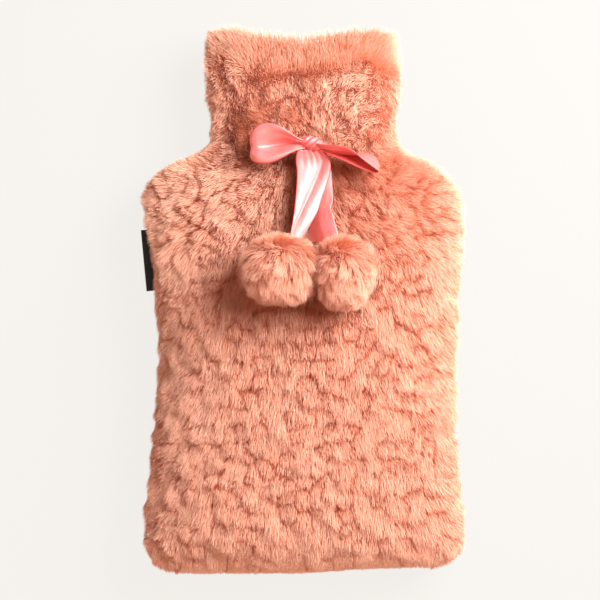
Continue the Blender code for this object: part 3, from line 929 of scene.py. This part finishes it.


# the pile's finish, its colour from root to tip, and the tones from a gap in painted shade to a
# tuft
pileLook = {
    "shader": {
        "Roughness": 0.82,
        "Specular IOR Level": 0.05,
        "Sheen Weight": 0.03,
        "Sheen Roughness": 0.5,
        "Sheen Tint": (1.0, 0.72, 0.6, 1),
    },
    # darker and redder towards the root: partly the pile's own colour, partly painted shade deep
    # among the strands
    "alongStrand": (
        (0.0, (0.86, 0.35, 0.215)),
        (0.22, (0.92, 0.48, 0.34)),
        (0.55, (0.935, 0.545, 0.40)),
        (1.0, (0.94, 0.585, 0.44)),
    ),
    "tone": (
        (0.0, (0.44, 0.15, 0.09)),
        (0.35, (0.80, 0.50, 0.41)),
        (0.7, (0.96, 0.87, 0.83)),
        (1.0, (1.0, 1.0, 1.0)),
    ),
}


def mouthRim(base, normals, fields, turns=6, radius=1.3):
    # carries the pile round the edge of the mouth and a little way inside
    along = np.gradient(base, axis=0)[-1]
    along /= np.linalg.norm(along, axis=1, keepdims=True)
    out = normals[-1]
    last = base[-1].copy()
    for k in range(1, turns + 1):
        angle = math.radians(150) * k / turns
        place = last + along * radius * math.sin(angle) - out * radius * (1 - math.cos(angle))
        way = out * math.cos(angle) + along * math.sin(angle)
        base = np.concatenate([base, place[None]])
        normals = np.concatenate([normals, way[None]])
    for name, value in fields.items():
        fields[name] = np.concatenate([value, np.repeat(value[-1:], turns, axis=0)])
    return base, normals


def edgeShare(arc):
    # 0 at the side seams and 1 further in
    reach = np.max(np.abs(arc), axis=1, keepdims=True)
    return smoothStep((reach - np.abs(arc)) / cover["edgeReach"])


def clothArea(points):
    corners = points[:-1, :-1], points[:-1, 1:], points[1:, 1:], points[1:, :-1]
    halves = np.cross(corners[1] - corners[0], corners[2] - corners[0])
    others = np.cross(corners[2] - corners[0], corners[3] - corners[0])
    return 0.5 * (np.linalg.norm(halves, axis=2) + np.linalg.norm(others, axis=2)).sum()


def makeBacking(panel, material):
    # the thin cloth under the pile, with its flat size
    rows = rowPlaces(panel["backingStep"], cover["length"] - cover["rimFrom"])
    points, normals, arc, along = panelSurface(panel["side"], rows, panel["backingColumns"])
    close = panel["edgeClose"] + (1 - panel["edgeClose"]) * edgeShare(arc)
    outer = points - normals * (panel["inset"] * close + cover["backingUnder"])[..., None]
    outer[..., 2] = np.maximum(outer[..., 2], 0.3)
    sheet = meshFromGrid(panel["name"] + "_backing", outer, panel["side"])
    setMap(sheet, (arc + 200) * mm, along * mm)
    wall = sheet.modifiers.new("thickness", "SOLIDIFY")
    wall.thickness = cover["backing"] * mm
    wall.offset = -1
    sheet.data.materials.append(material)
    middle = outer[:, outer.shape[1] // 2]
    long = np.linalg.norm(np.diff(middle, axis=0), axis=1).sum()
    wide = np.linalg.norm(np.diff(outer, axis=1), axis=2).sum(axis=1).max()
    return sheet, (float(wide) * mm, float(long) * mm), float(clothArea(outer)) * mm * mm


def makePanel(panel, material, backing):
    # the backing sheet of a panel, and its pile in pieces from the bottom up
    side = panel["side"]
    alongs = rowPlaces(panel["rowStep"], cover["length"] - cover["rimFrom"])
    points, normals, arc, along = panelSurface(side, alongs, panel["columns"])
    fields = pileFields(arc, along)
    edge = edgeShare(arc) * smoothStep(along / cover["hemClose"])
    for key in ("height", "skinX", "skinY"):
        fields[key] = fields[key] * (0.3 + 0.7 * edge)
    # at the edges the pile lies closer
    close = panel["edgeClose"] + (1 - panel["edgeClose"]) * edge
    close = close + (1 - close) * smoothStep((along - cover["length"] + 40) / 30)
    fields["rise"] = fields["rise"] * close
    atSeams, within = panel["cover"]
    fields["cover"] = fields["cover"] * (atSeams + (within - atSeams) * edge)
    base = points - normals * (panel["inset"] * close)[..., None]
    base, normals = mouthRim(base, normals, fields)
    base[..., 2] = np.maximum(base[..., 2], panel["clearance"])
    alongs = np.concatenate([alongs, np.full(len(base) - len(alongs), alongs[-1] + 1)])
    relief = base + normals * (fields["height"] * panel["relief"])[..., None]
    across = np.gradient(base, axis=1)
    across /= np.maximum(np.linalg.norm(across, axis=2, keepdims=True), 1e-9)
    upward = np.cross(normals, across) * side
    skin = normals + across * fields["skinX"][..., None] + upward * fields["skinY"][..., None]
    skin /= np.linalg.norm(skin, axis=2, keepdims=True)
    rise = normals * (fields["rise"] * panel["reach"])[..., None]
    sweep = across * fields["sweepX"][..., None] + upward * fields["sweepY"][..., None]
    if side < 0:
        # pressed flat under the cover
        low = relief[..., 2] + rise[..., 2] + sweep[..., 2]
        rise[..., 2] += np.clip(0.8 - low, 0, None)
    tall = np.linalg.norm(rise, axis=2)
    pieces = []
    for number, (part, (low, high)) in enumerate(panel["parts"].items()):
        rows = np.where((alongs >= low) & (alongs <= high))[0]
        cut = slice(max(rows[0] - 1, 0), rows[-1] + 1)
        ground = meshFromGrid("ground", relief[cut], side)
        setField(ground, "cover", fields["cover"][cut])
        setField(ground, "grow", rise[cut] / tall[cut][..., None])
        setField(ground, "reach", tall[cut] * mm)
        setField(ground, "sweep", sweep[cut] * mm)
        setField(ground, "tone", fields["tone"][cut])
        setField(ground, "skin", skin[cut])
        values = {**panel["strands"], "Seed": 10 * side + number, "Material": material}
        pieces.append(plantStrands(f"{panel['name']}_{part}", ground, values))
    sheet, flat, area = makeBacking(panel, backing)
    for piece in [sheet, *pieces]:
        dress(piece, panel["node"])


frontPanel = {
    "side": 1,
    "name": "front_pile",
    "node": "front_panel",
    "restsOn": ["back_pile_backing"],
    "parts": {"lower": (0, 92), "middle": (92, 184), "shoulders": (184, 272), "neck": (272, 380)},
    "rowStep": 0.85,
    "columns": 321,
    "backingStep": 4.0,
    "backingColumns": 81,
    "inset": 6.0,  # backing below the pile's tips
    "edgeClose": 0.55,  # how much of its height the pile keeps at the side seams
    "cover": (1.0, 1.0),  # how thickly it stands there, and further in
    "relief": 1,
    "reach": 1,
    "clearance": 0,
    "strands": {
        "Strands per Square Metre": 1.62e6,
        "Strand Width": 0.00055,
        "Length Spread": 0.05,
        "Sweep Spread": 0.0003,
        "Tone Spread": 0.02,
    },
}
# the back panel's pile is pressed by the cover's weight and planted more coarsely
backPanel = {
    **frontPanel,
    "side": -1,
    "name": "back_pile",
    "node": "back_panel",
    "restsOn": [],
    "parts": {"all": (0, 380)},
    "rowStep": 1.5,
    "columns": 181,
    "inset": 5.0,
    "edgeClose": 1.0,
    "cover": (1.7, 0.7),
    "relief": 0.5,
    "reach": 0.8,
    "clearance": 0.6,
    "strands": {
        **frontPanel["strands"],
        "Strands per Square Metre": 0.42e6,
        "Strand Width": 0.0009,
    },
}
backingLook = {
    "mapped": True,
    "shader": {"Specular IOR Level": 0.2, "Sheen Weight": 0.2},
    "weave": {
        "Threads Across": 900.0,
        "Crossings Along": 700.0,
        "Step": 0.5,
        "Uneven Size": 40.0,
    },
    "dark": (0.58, 0.20, 0.125),
    "light": (0.76, 0.32, 0.21),
    "paintedThreadShade": 0.5,
    "roughness": 0.95,
    "glossSpread": 0.08,
    "bump": 0.7,
    "threadHeight": 0.0004,
    "creases": 1.0,
}
coralPile = pileMaterial("coral pile", pileLook)
knittedBacking = clothMaterial("knitted backing", backingLook)
makePanel(frontPanel, coralPile, knittedBacking)
makePanel(backPanel, coralPile, knittedBacking)
print("both panels planted")


# One length of satin ribbon tied in a bow. A row for each section: the ribbon's left or
# mouth-side edge and its other edge (across, along, up), the place of the crease between
# them from -1 to 1, how far the cloth swells on both sides of it and, where there is one
# more number, how deep it dips there.
ribbon = {"width": 24, "thickness": 0.36, "rows": 72, "columns": 27}
bowParts = {
    "left_loop": {
        "held": "folded",
        "pleats": 0.9,
        "skew": 1.5,
        "sections": (
            (1.3, 300.2, 67.5, 1.3, 294.7, 66, 0.15, 0.3, 0.4, 1.4),
            (-3.9, 302.3, 69, -3.9, 293.4, 66.8, 0.12, 0.5, 2.0, 4.0),
            (-10.5, 306.7, 69.8, -10.5, 290.1, 67.5, 0.10, 0.8, 3.4, 7.4),
            (-17.0, 310.3, 70.2, -17.0, 286.6, 68.0, 0.12, 0.9, 4.0, 8.2),
            (-24.1, 311.9, 70.2, -24.1, 284.1, 68.0, 0.14, 0.6, 3.6, 7.0),
            (-30.2, 310.8, 69.7, -31.3, 284.8, 67.5, 0.16, 0.3, 2.2, 3.8),
            (-34.0, 307.3, 68, -34.7, 286.2, 65.5, 0.16, 0.3, 1.2, 2.2),
            (-36.1, 302.9, 65.5, -36.3, 288.6, 63, 0.1, 0.2, 0.5, 1.1),
            (-36.3, 302.0, 62, -36.3, 289.4, 61, 0.0, 0.2, 0.2, 0.4),
            (-34.5, 305.0, 59.5, -33.9, 288.4, 59.2, 0.0, 0.0, 0.0, 0),
            (-28.3, 307.8, 58.6, -27.6, 286.7, 58.6, 0.0, 0.0, 0.0, 0),
            (-17.3, 306.4, 58.8, -17.3, 288.4, 58.8, 0.0, -0.4, -0.4, 0),
            (-7.6, 301.8, 60.5, -7.6, 291.8, 60.5, 0.0, -0.5, -0.5, 0),
            (0.7, 299.6, 62.3, 0.7, 295.2, 62.3, 0.0, -0.2, -0.2, 0),
        ),
    },
    "right_loop": {
        "held": "folded",
        "pleats": 0.9,
        "sections": (
            (6.2, 299.0, 67.5, 6.2, 295.5, 62, 0.0, 0.2, 0.2),
            (13.7, 297.1, 73, 13.8, 292.5, 60.5, 0.0, 0.5, 0.5),
            (22.3, 296.1, 78, 22.5, 290.1, 59.2, 0.0, 0.6, 0.6),
            (28.6, 294.9, 79, 29.0, 289.1, 58.8, 0.0, 0.5, 0.5),
            (35.1, 291.7, 79.2, 35.2, 289.6, 58.8, 0.0, 0.4, 0.4),
            (41.2, 286.6, 79, 42.4, 291.9, 58.8, 0.0, 0.4, 0.4),
            (46.7, 282.5, 78.5, 49.0, 289.8, 58.8, 0.0, 0.4, 0.4),
            (50.5, 279.8, 78, 52.2, 285.6, 59, 0.0, 0.4, 0.4),
            (51.6, 278.5, 77, 52.9, 282.8, 58.5, 0.0, 0.4, 0.4),
            (49.2, 277.4, 75, 50.0, 283.4, 58.2, 0.0, 0.3, 0.3),
            (38.5, 281.2, 73, 39.3, 290.0, 58.2, 0.0, 0.3, 0.3),
            (28.7, 285.8, 71, 29.0, 292.2, 58.2, 0.0, 0.4, 0.4),
            (19.1, 289.9, 69, 19.3, 293.0, 58.6, 0.0, 0.3, 0.3),
            (11.6, 294.0, 67, 11.7, 294.4, 60, 0.0, 0.2, 0.2),
            (5.5, 296.3, 66, 5.5, 295.9, 61, 0.0, 0.1, 0.1),
        ),
    },
    "left_tail": {
        "held": "laid",
        "pleats": 0.3,
        "sections": (
            (-3.8, 293.8, 65.6, 13.1, 293.8, 64, 0.60, 0.5, 0.2, 0.6),
            (-5.1, 287.6, 64.4, 18.6, 286.9, 62.2, 0.55, 0.8, 0.4, 0.9),
            (-4.3, 278.4, 65.6, 18.8, 278.5, 61.8, 0.36, 0.9, 0.7, 1.2),
            (-4.6, 269.4, 67.0, 16.1, 269.4, 62.6, 0.16, 0.9, 0.8, 1.3),
            (-5.4, 258.9, 69.0, 12.3, 259.0, 64.4, -0.10, 0.8, 0.9, 1.3),
            (-6.3, 250.6, 70.6, 10.0, 251.4, 66.4, -0.38, 0.6, 0.9, 1.1),
            (-7.3, 243.7, 72, 6.5, 244.8, 68.2, -0.60, 0.4, 0.9, 0.9),
            (-8.4, 236.8, 73.4, 2.0, 236.9, 69.8, -0.76, 0.3, 0.8, 0.6),
            (-9.5, 231.4, 74.4, -1.1, 231.4, 71, -0.82, 0.2, 0.7, 0.4),
        ),
    },
    "right_tail": {
        "held": "laid",
        "pleats": 0.3,
        "sections": (
            (-2.1, 293.9, 61.0, 14.5, 293.9, 61.5, 0.0, 0.2, 0.2, 0),
            (0.0, 287.0, 60.4, 18.1, 287.0, 61.0, 0.0, 0.4, 0.4, 0),
            (2.0, 280.1, 60.0, 19.4, 280.0, 61.0, -0.3, 0.4, 0.6, 0),
            (4.0, 269.8, 60.0, 20.2, 269.5, 62.5, -0.6, 0.3, 0.8, 0.1),
            (5.5, 259.4, 60.4, 20.4, 258.9, 66.5, -0.7, 0.2, 0.9, 0.2),
            (5.8, 254.5, 60.4, 19.1, 254.0, 68.5, -0.55, 0.2, 0.9, -0.4),
            (5.6, 249.7, 60.4, 20.4, 249.2, 70.5, -0.35, 0.2, 0.9, -1.4),
            (5.0, 242.7, 60.6, 22.2, 242.2, 72.5, -0.05, 0.2, 0.8, -2.6),
            (4.6, 235.1, 61.0, 24.5, 234.7, 74.5, 0.15, 0.2, 0.6, -3.2),
            (4.5, 230.2, 61.4, 25.8, 229.9, 75.4, 0.2, 0.2, 0.4, -3.4),
        ),
    },
}
knot = {
    "middle": (6.2, 298.0, 64.4),
    "size": (8.6, 4.7, 4.6),
    "turn": -14,  # how it lies between the loops, in degrees
    "twist": 1.9,
    "folds": 4,
    "depth": 0.12,
    "rows": 48,
    "columns": 72,
}
satinLook = {
    "mapped": True,
    "shader": {"Specular IOR Level": 0.9, "Coat Weight": 0.5, "Coat Roughness": 0.32},
    "weave": {
        "Threads Across": 3600.0,
        "Crossings Along": 1300.0,
        "Step": 0.4,
        "Uneven Size": 260.0,
        "Width": 0.024,
    },
    "dark": (0.80, 0.10, 0.095),
    "light": (0.94, 0.19, 0.175),
    "paintedThreadShade": 0.25,
    "roughness": 0.47,
    "glossSpread": 0.06,
    "bump": 0.5,
    "threadHeight": 0.00003,
    "creases": 16.0,
}


def ribbonPart(name, part):
    # a loop or a tail as a grid of points, and the length of its middle line
    table = np.array(part["sections"], float)
    ends = np.linspace(0, 1, len(table))
    at = np.linspace(0, 1, ribbon["rows"])
    smooth = [curveThrough(ends, table[:, k], at) for k in range(table.shape[1])]
    share = np.linspace(-1, 1, ribbon["columns"])[None, :]
    first = np.stack(smooth[0:3], axis=1)[:, None, :]
    second = np.stack(smooth[3:6], axis=1)[:, None, :]
    points = first * (1 - share[..., None]) / 2 + second * (1 + share[..., None]) / 2
    crease, before, after, *dip = (k[:, None] for k in smooth[6:])
    skew = part.get("skew", 1)
    left = 1 - (2 * np.clip((crease - share) / (1 + crease), 0, 1) ** skew - 1) ** 2
    right = 1 - (2 * np.clip((share - crease) / (1 - crease), 0, 1) ** skew - 1) ** 2
    swell = np.where(share < crease, before * left, after * right)
    if dip:
        span = np.where(share < crease, 1 + crease, 1 - crease)
        swell = swell - dip[0] * np.clip(1 - np.abs(share - crease) / span, 0, 1) ** 1.2
    knotward = np.minimum(at, 1 - at)[:, None] if "loop" in name else at[:, None]
    fine = part["pleats"] * np.cos(11 * share + 3 * np.sin(2.5 * share))
    swell = swell + fine * np.exp(-((knotward / 0.16) ** 2)) * (1 - share**4)
    normals = gridNormals(points)
    normals *= np.sign(normals[ribbon["rows"] // 4, ribbon["columns"] // 2, 2])
    points = points + normals * swell[..., None]
    points[..., 1] -= cover["restAt"]
    middle = points[:, ribbon["columns"] // 2]
    steps = np.linalg.norm(np.diff(middle, axis=0), axis=1)
    run = np.concatenate([[0], np.cumsum(steps)])[:, None]
    obj = meshFromGrid("bow_" + name, points, 1)
    setMap(obj, (share + 1) / 2 * ribbon["width"] * mm + 0 * run, run * mm + 0 * share)
    wall = obj.modifiers.new("thickness", "SOLIDIFY")
    wall.thickness = ribbon["thickness"] * mm
    wall.offset = 0
    return obj, run[-1, 0]


def makeRibbon(satin):
    for name, part in bowParts.items():
        obj, length = ribbonPart(name, part)
        obj.data.materials.append(satin)
        obj.data.shade_smooth()
        dress(obj, "ribbon_bow")


def makeKnot(satin):
    # a closed form with the ribbon's folds wound round it
    along = np.linspace(-1, 1, knot["rows"])[:, None]
    around = np.linspace(0, 2 * math.pi, knot["columns"], endpoint=False)[None, :]
    narrow = np.sqrt(np.clip(1 - np.abs(along) ** 2.6, 0, 1))
    fold = np.abs(np.sin(0.5 * knot["folds"] * around + math.pi * knot["twist"] * along))
    ridge = 1 + knot["depth"] * (2 * fold - 1) * (1 - along**4)
    x = knot["size"][0] * along + 0 * around
    y = knot["size"][1] * narrow * ridge * np.cos(around)
    z = knot["size"][2] * narrow * ridge * np.sin(around)
    obj = closedTube("bow_knot", turned(x, y, z, knot["turn"], knot["middle"]))
    obj.data.shade_smooth()
    obj.data.materials.append(satin)
    setMap(obj, around / 20 + 0 * along, (along + 1) / 10 + 0 * around)
    dress(obj, "ribbon_bow")


pinkSatin = clothMaterial("pink satin", satinLook)
makeRibbon(pinkSatin)
makeKnot(pinkSatin)
print("bow tied")


# The pompoms' pile grows from a round ground and is combed away from the ribbon.
pompomLook = {
    "core": 0.78,  # share of the size that the strands grow from
    "coreInset": 0.06,  # how much smaller the padded core is
    "sharp": 14,  # how sharply a pressed side meets the round
    "locks": 150,
    "scatter": 0.13,  # how unevenly the locks stand
    "parting": 0.045,  # half width of the gaps between them
    "gather": 0.17,
    "lie": 1.45,  # how far a strand lies over for its height
    "stray": 0.6,
    "comb": {"left": (0.15, 1.0, -0.3), "right": (-0.1, 1.0, -0.3)},
    "strands": {
        "Strands per Square Metre": 3.0e6,
        "Strand Width": 0.00046,
        "Sweep Spread": 0.0009,
        "Length Spread": 0.14,
        "Tone Spread": 0.03,
        "Seed": 7,
    },
    "shader": pileLook["shader"],
    # darker and redder towards the root: partly the pile's own colour, partly painted shade deep
    # among the strands
    "alongStrand": (
        (0.0, (0.80, 0.28, 0.16)),
        (0.25, (0.90, 0.42, 0.28)),
        (0.6, (0.92, 0.49, 0.35)),
        (1.0, (0.93, 0.56, 0.43)),
    ),
    "tone": pileLook["tone"],
}


def frontHeight(x, along):
    half, rise, _ = sectionsAt(np.array([float(along)]))
    share = min(1.0, abs(x) / half[0])
    rest = (1 - share ** cover["sidePower"]) ** (1 / cover["crownPower"])
    return cover["seamHeight"] + rise[0] * rest


def pompomReach(way, ball):
    # distance from a pompom's middle to its surface, with two sides pressed flat
    size = np.array(ball["size"], float)
    sharp = pompomLook["sharp"]
    total = (np.abs(way / size) ** press["full"]).sum(axis=1) ** (sharp / press["full"])
    wall = press["line"] - ball["side"] * press["mix"] / 2 - ball["middle"][0]
    total += np.clip(way[:, 0] / wall, 0, None) ** sharp
    total += np.clip(way[:, 2] / (press["foot"] - press["lift"]), 0, None) ** sharp
    return total ** (-1 / sharp)


def ballWays(mesh, subdivisions):
    # fills a mesh with a ball and gives the way from its middle to each point
    form = bmesh.new()
    bmesh.ops.create_icosphere(form, subdivisions=subdivisions, radius=1)
    form.to_mesh(mesh)
    form.free()
    way = np.zeros(len(mesh.vertices) * 3)
    mesh.vertices.foreach_get("co", way)
    way = way.reshape(-1, 3)
    return way / np.linalg.norm(way, axis=1, keepdims=True)


def lockWays(count):
    # evenly spread ways, each a little astray
    order = np.arange(count)
    high = 1 - (2 * order + 1) / count
    turn = order * math.pi * (3 - math.sqrt(5))
    flat = np.sqrt(1 - high**2)
    ways = np.stack([flat * np.cos(turn), flat * np.sin(turn), high], axis=1)
    astray = np.stack([hashed(order, order * 0 + k, 81) for k in (1, 2, 3)], axis=1)
    ways += pompomLook["scatter"] * (2 * astray - 1)
    return ways / np.linalg.norm(ways, axis=1, keepdims=True)


def makePompom(name, ball, pileCloth, groundCloth):
    middleX, middleAlong = ball["middle"]
    under = frontHeight(middleX, middleAlong) - press["dentDepth"]
    middle = np.array([middleX, middleAlong - cover["restAt"], under + press["lift"]])
    mesh = bpy.data.meshes.new("ground")
    way = ballWays(mesh, 5)
    reach = pompomReach(way, ball)
    # the lock that each point belongs to, and the gaps between locks
    seeds = lockWays(pompomLook["locks"])
    near = way @ seeds.T
    best = near.argmax(axis=1)
    ranked = np.sort(near, axis=1)
    edge = np.arccos(np.clip(ranked[:, -2], -1, 1)) - np.arccos(np.clip(ranked[:, -1], -1, 1))
    gap = np.exp(-((edge / pompomLook["parting"]) ** 2))
    own = hashed(best, best * 0, 82)
    tie = np.array(pompomLook["comb"][name])
    tie = tie / np.linalg.norm(tie)
    flow = -tie + way * (way @ tie)[:, None]
    stray = np.stack([hashed(best, best * 0 + k, 83) for k in (1, 2, 3)], axis=1) * 2 - 1
    flow = flow + pompomLook["stray"] * (stray - way * (stray * way).sum(axis=1)[:, None])
    share = pompomLook["core"] - 0.03 * gap
    rise = reach * (1 - share) * (0.82 + 0.18 * own - 0.08 * gap)
    gather = (seeds[best] - way) * (reach * pompomLook["gather"])[:, None]
    calm = 1 - 0.45 * np.clip(-(way @ tie), 0, 1)
    sweep = gather + flow * (rise * pompomLook["lie"] * calm)[:, None]
    soft = way - 0.5 * (seeds[best] - way) - 0.15 * flow
    soft /= np.linalg.norm(soft, axis=1, keepdims=True)
    movePoints(mesh, middle + way * (reach * share)[:, None])
    mesh.update()
    ground = addObject("ground", mesh)
    setField(ground, "cover", 1 - 0.3 * gap)
    setField(ground, "grow", way)
    setField(ground, "reach", rise * mm)
    setField(ground, "sweep", sweep * mm)
    # painted shade: the pompom's pile is darker in the gaps between its locks
    setField(ground, "tone", np.clip(0.86 - 0.16 * gap + 0.14 * (own - 0.5), 0.05, 0.97))
    setField(ground, "skin", soft)
    # the padded core
    core = addObject(f"pompom_{name}_core", bpy.data.meshes.new("core"))
    way = ballWays(core.data, 4)
    share = pompomLook["core"] - pompomLook["coreInset"]
    movePoints(core.data, middle + way * (pompomReach(way, ball) * share)[:, None])
    core.data.update()
    core.data.shade_smooth()
    core.data.materials.append(groundCloth)
    values = {**pompomLook["strands"], "Material": pileCloth}
    locks = plantStrands(f"pompom_{name}_pile", ground, values)
    for piece in (core, locks):
        dress(piece, "pompom_" + name)


pompomPile = pileMaterial("pale coral pile", pompomLook)
pompomGround = clothMaterial("pompom ground", {**backingLook, "mapped": False})
for name, ball in pompoms.items():
    makePompom(name, ball, pompomPile, pompomGround)
print("pompoms planted")


labelLook = {
    "mapped": True,
    "shader": {"Specular IOR Level": 0.35, "Sheen Weight": 0.1},
    "weave": {
        "Threads Across": 1400.0,
        "Crossings Along": 2200.0,
        "Step": 0.5,
        "Uneven Size": 50.0,
    },
    "dark": (0.009, 0.009, 0.011),
    "light": (0.018, 0.018, 0.021),
    "paintedThreadShade": 0.6,
    "roughness": 0.66,
    "glossSpread": 0.12,
    "bump": 0.5,
    "threadHeight": 0.00015,
    "creases": 1.5,
}


def makeLabel():
    # a woven tape folded once, its fold outwards
    out, long, thick = label["size"]
    bend = thick / 2
    turns = np.linspace(-math.pi / 2, math.pi / 2, label["bendSteps"])

    def layerSide(radius):
        fold = [(bend - out / 2 - radius * math.cos(a), radius * math.sin(a)) for a in turns]
        return [(out / 2, -radius), *fold, (out / 2, radius)]

    profile = np.array(layerSide(bend - label["layer"]) + layerSide(bend)[::-1])
    part = np.linspace(0, 1, label["slices"])[:, None]
    y = long * (part - 0.5) + 0 * profile[:, 0]
    x = profile[:, 0] + 0 * y
    z = profile[:, 1] + label["sway"] * np.sin(5.1 * part) * (0.5 - x / out)
    middle = (label["across"], label["along"], cover["seamHeight"])
    obj = closedTube("side_label_tape", turned(x, y, z, label["slant"], middle))
    mesh = obj.data
    form = bmesh.new()
    form.from_mesh(mesh)
    bmesh.ops.recalc_face_normals(form, faces=form.faces)
    form.to_mesh(mesh)
    form.free()
    mesh.shade_smooth()
    mesh.set_sharp_from_angle(angle=math.radians(40))
    setMap(obj, (x + out) * mm, (y + long) * mm)
    mesh.materials.append(clothMaterial("black woven tape", labelLook))
    dress(obj, "side_label")


makeLabel()
print("label folded")

stageLook = {
    "floorReach": 4.0,
    "floor": {
        "Base Color": (0.04, 0.04, 0.04, 1),
        "Roughness": 0.9,
        "Specular IOR Level": 0.1,
        "Emission Color": (0.955, 0.925, 0.885, 1),
        "Emission Strength": 0.895,
    },
    "cameraAt": (-2.1, 25.4, 2130),
    "lens": 180,
    # name, place, size, power and colour
    "lights": (
        ("key", (0.56, 0.44, 0.62), 0.65, 26.5, (0.955, 1.0, 1.0)),
        ("fill", (0.1, -0.85, 0.9), 1.2, 7, (1.0, 0.74, 0.60)),
    ),
    "lightsLookAt": 0.03,
    "air": {"Color": (1.0, 0.80, 0.68, 1), "Strength": 0.34},
}


def makeStage():
    reach = stageLook["floorReach"]
    corners = [(-reach, -reach, 0), (reach, -reach, 0), (reach, reach, 0), (-reach, reach, 0)]
    mesh = bpy.data.meshes.new("floor")
    mesh.from_pydata(corners, [], [(0, 1, 2, 3)])
    floor = addObject("floor", mesh)
    floor.location.z = -0.0005
    material = bpy.data.materials.new("pale floor")
    material.use_nodes = True
    for key, value in stageLook["floor"].items():
        material.node_tree.nodes["Principled BSDF"].inputs[key].default_value = value
    mesh.materials.append(material)

    camera = addObject("camera", bpy.data.cameras.new("camera"))
    camera.location = [value * mm for value in stageLook["cameraAt"]]
    camera.data.lens = stageLook["lens"]
    camera.data.clip_end = 20
    bpy.context.scene.camera = camera

    for name, place, size, power, colour in stageLook["lights"]:
        light = addObject(name, bpy.data.lights.new(name, "AREA"))
        light.data.size = size
        light.data.energy = power
        light.data.color = colour
        light.location = place
        way = -light.location.copy()
        way.z += stageLook["lightsLookAt"]
        way.y += stageLook["lightsLookAt"]
        light.rotation_euler = way.to_track_quat("-Z", "Y").to_euler()
    world = bpy.data.worlds.new("studio")
    world.use_nodes = True
    for key, value in stageLook["air"].items():
        world.node_tree.nodes["Background"].inputs[key].default_value = value
    bpy.context.scene.world = world
    bpy.context.scene.view_settings.view_transform = "Standard"


makeStage()
print("stage lit")
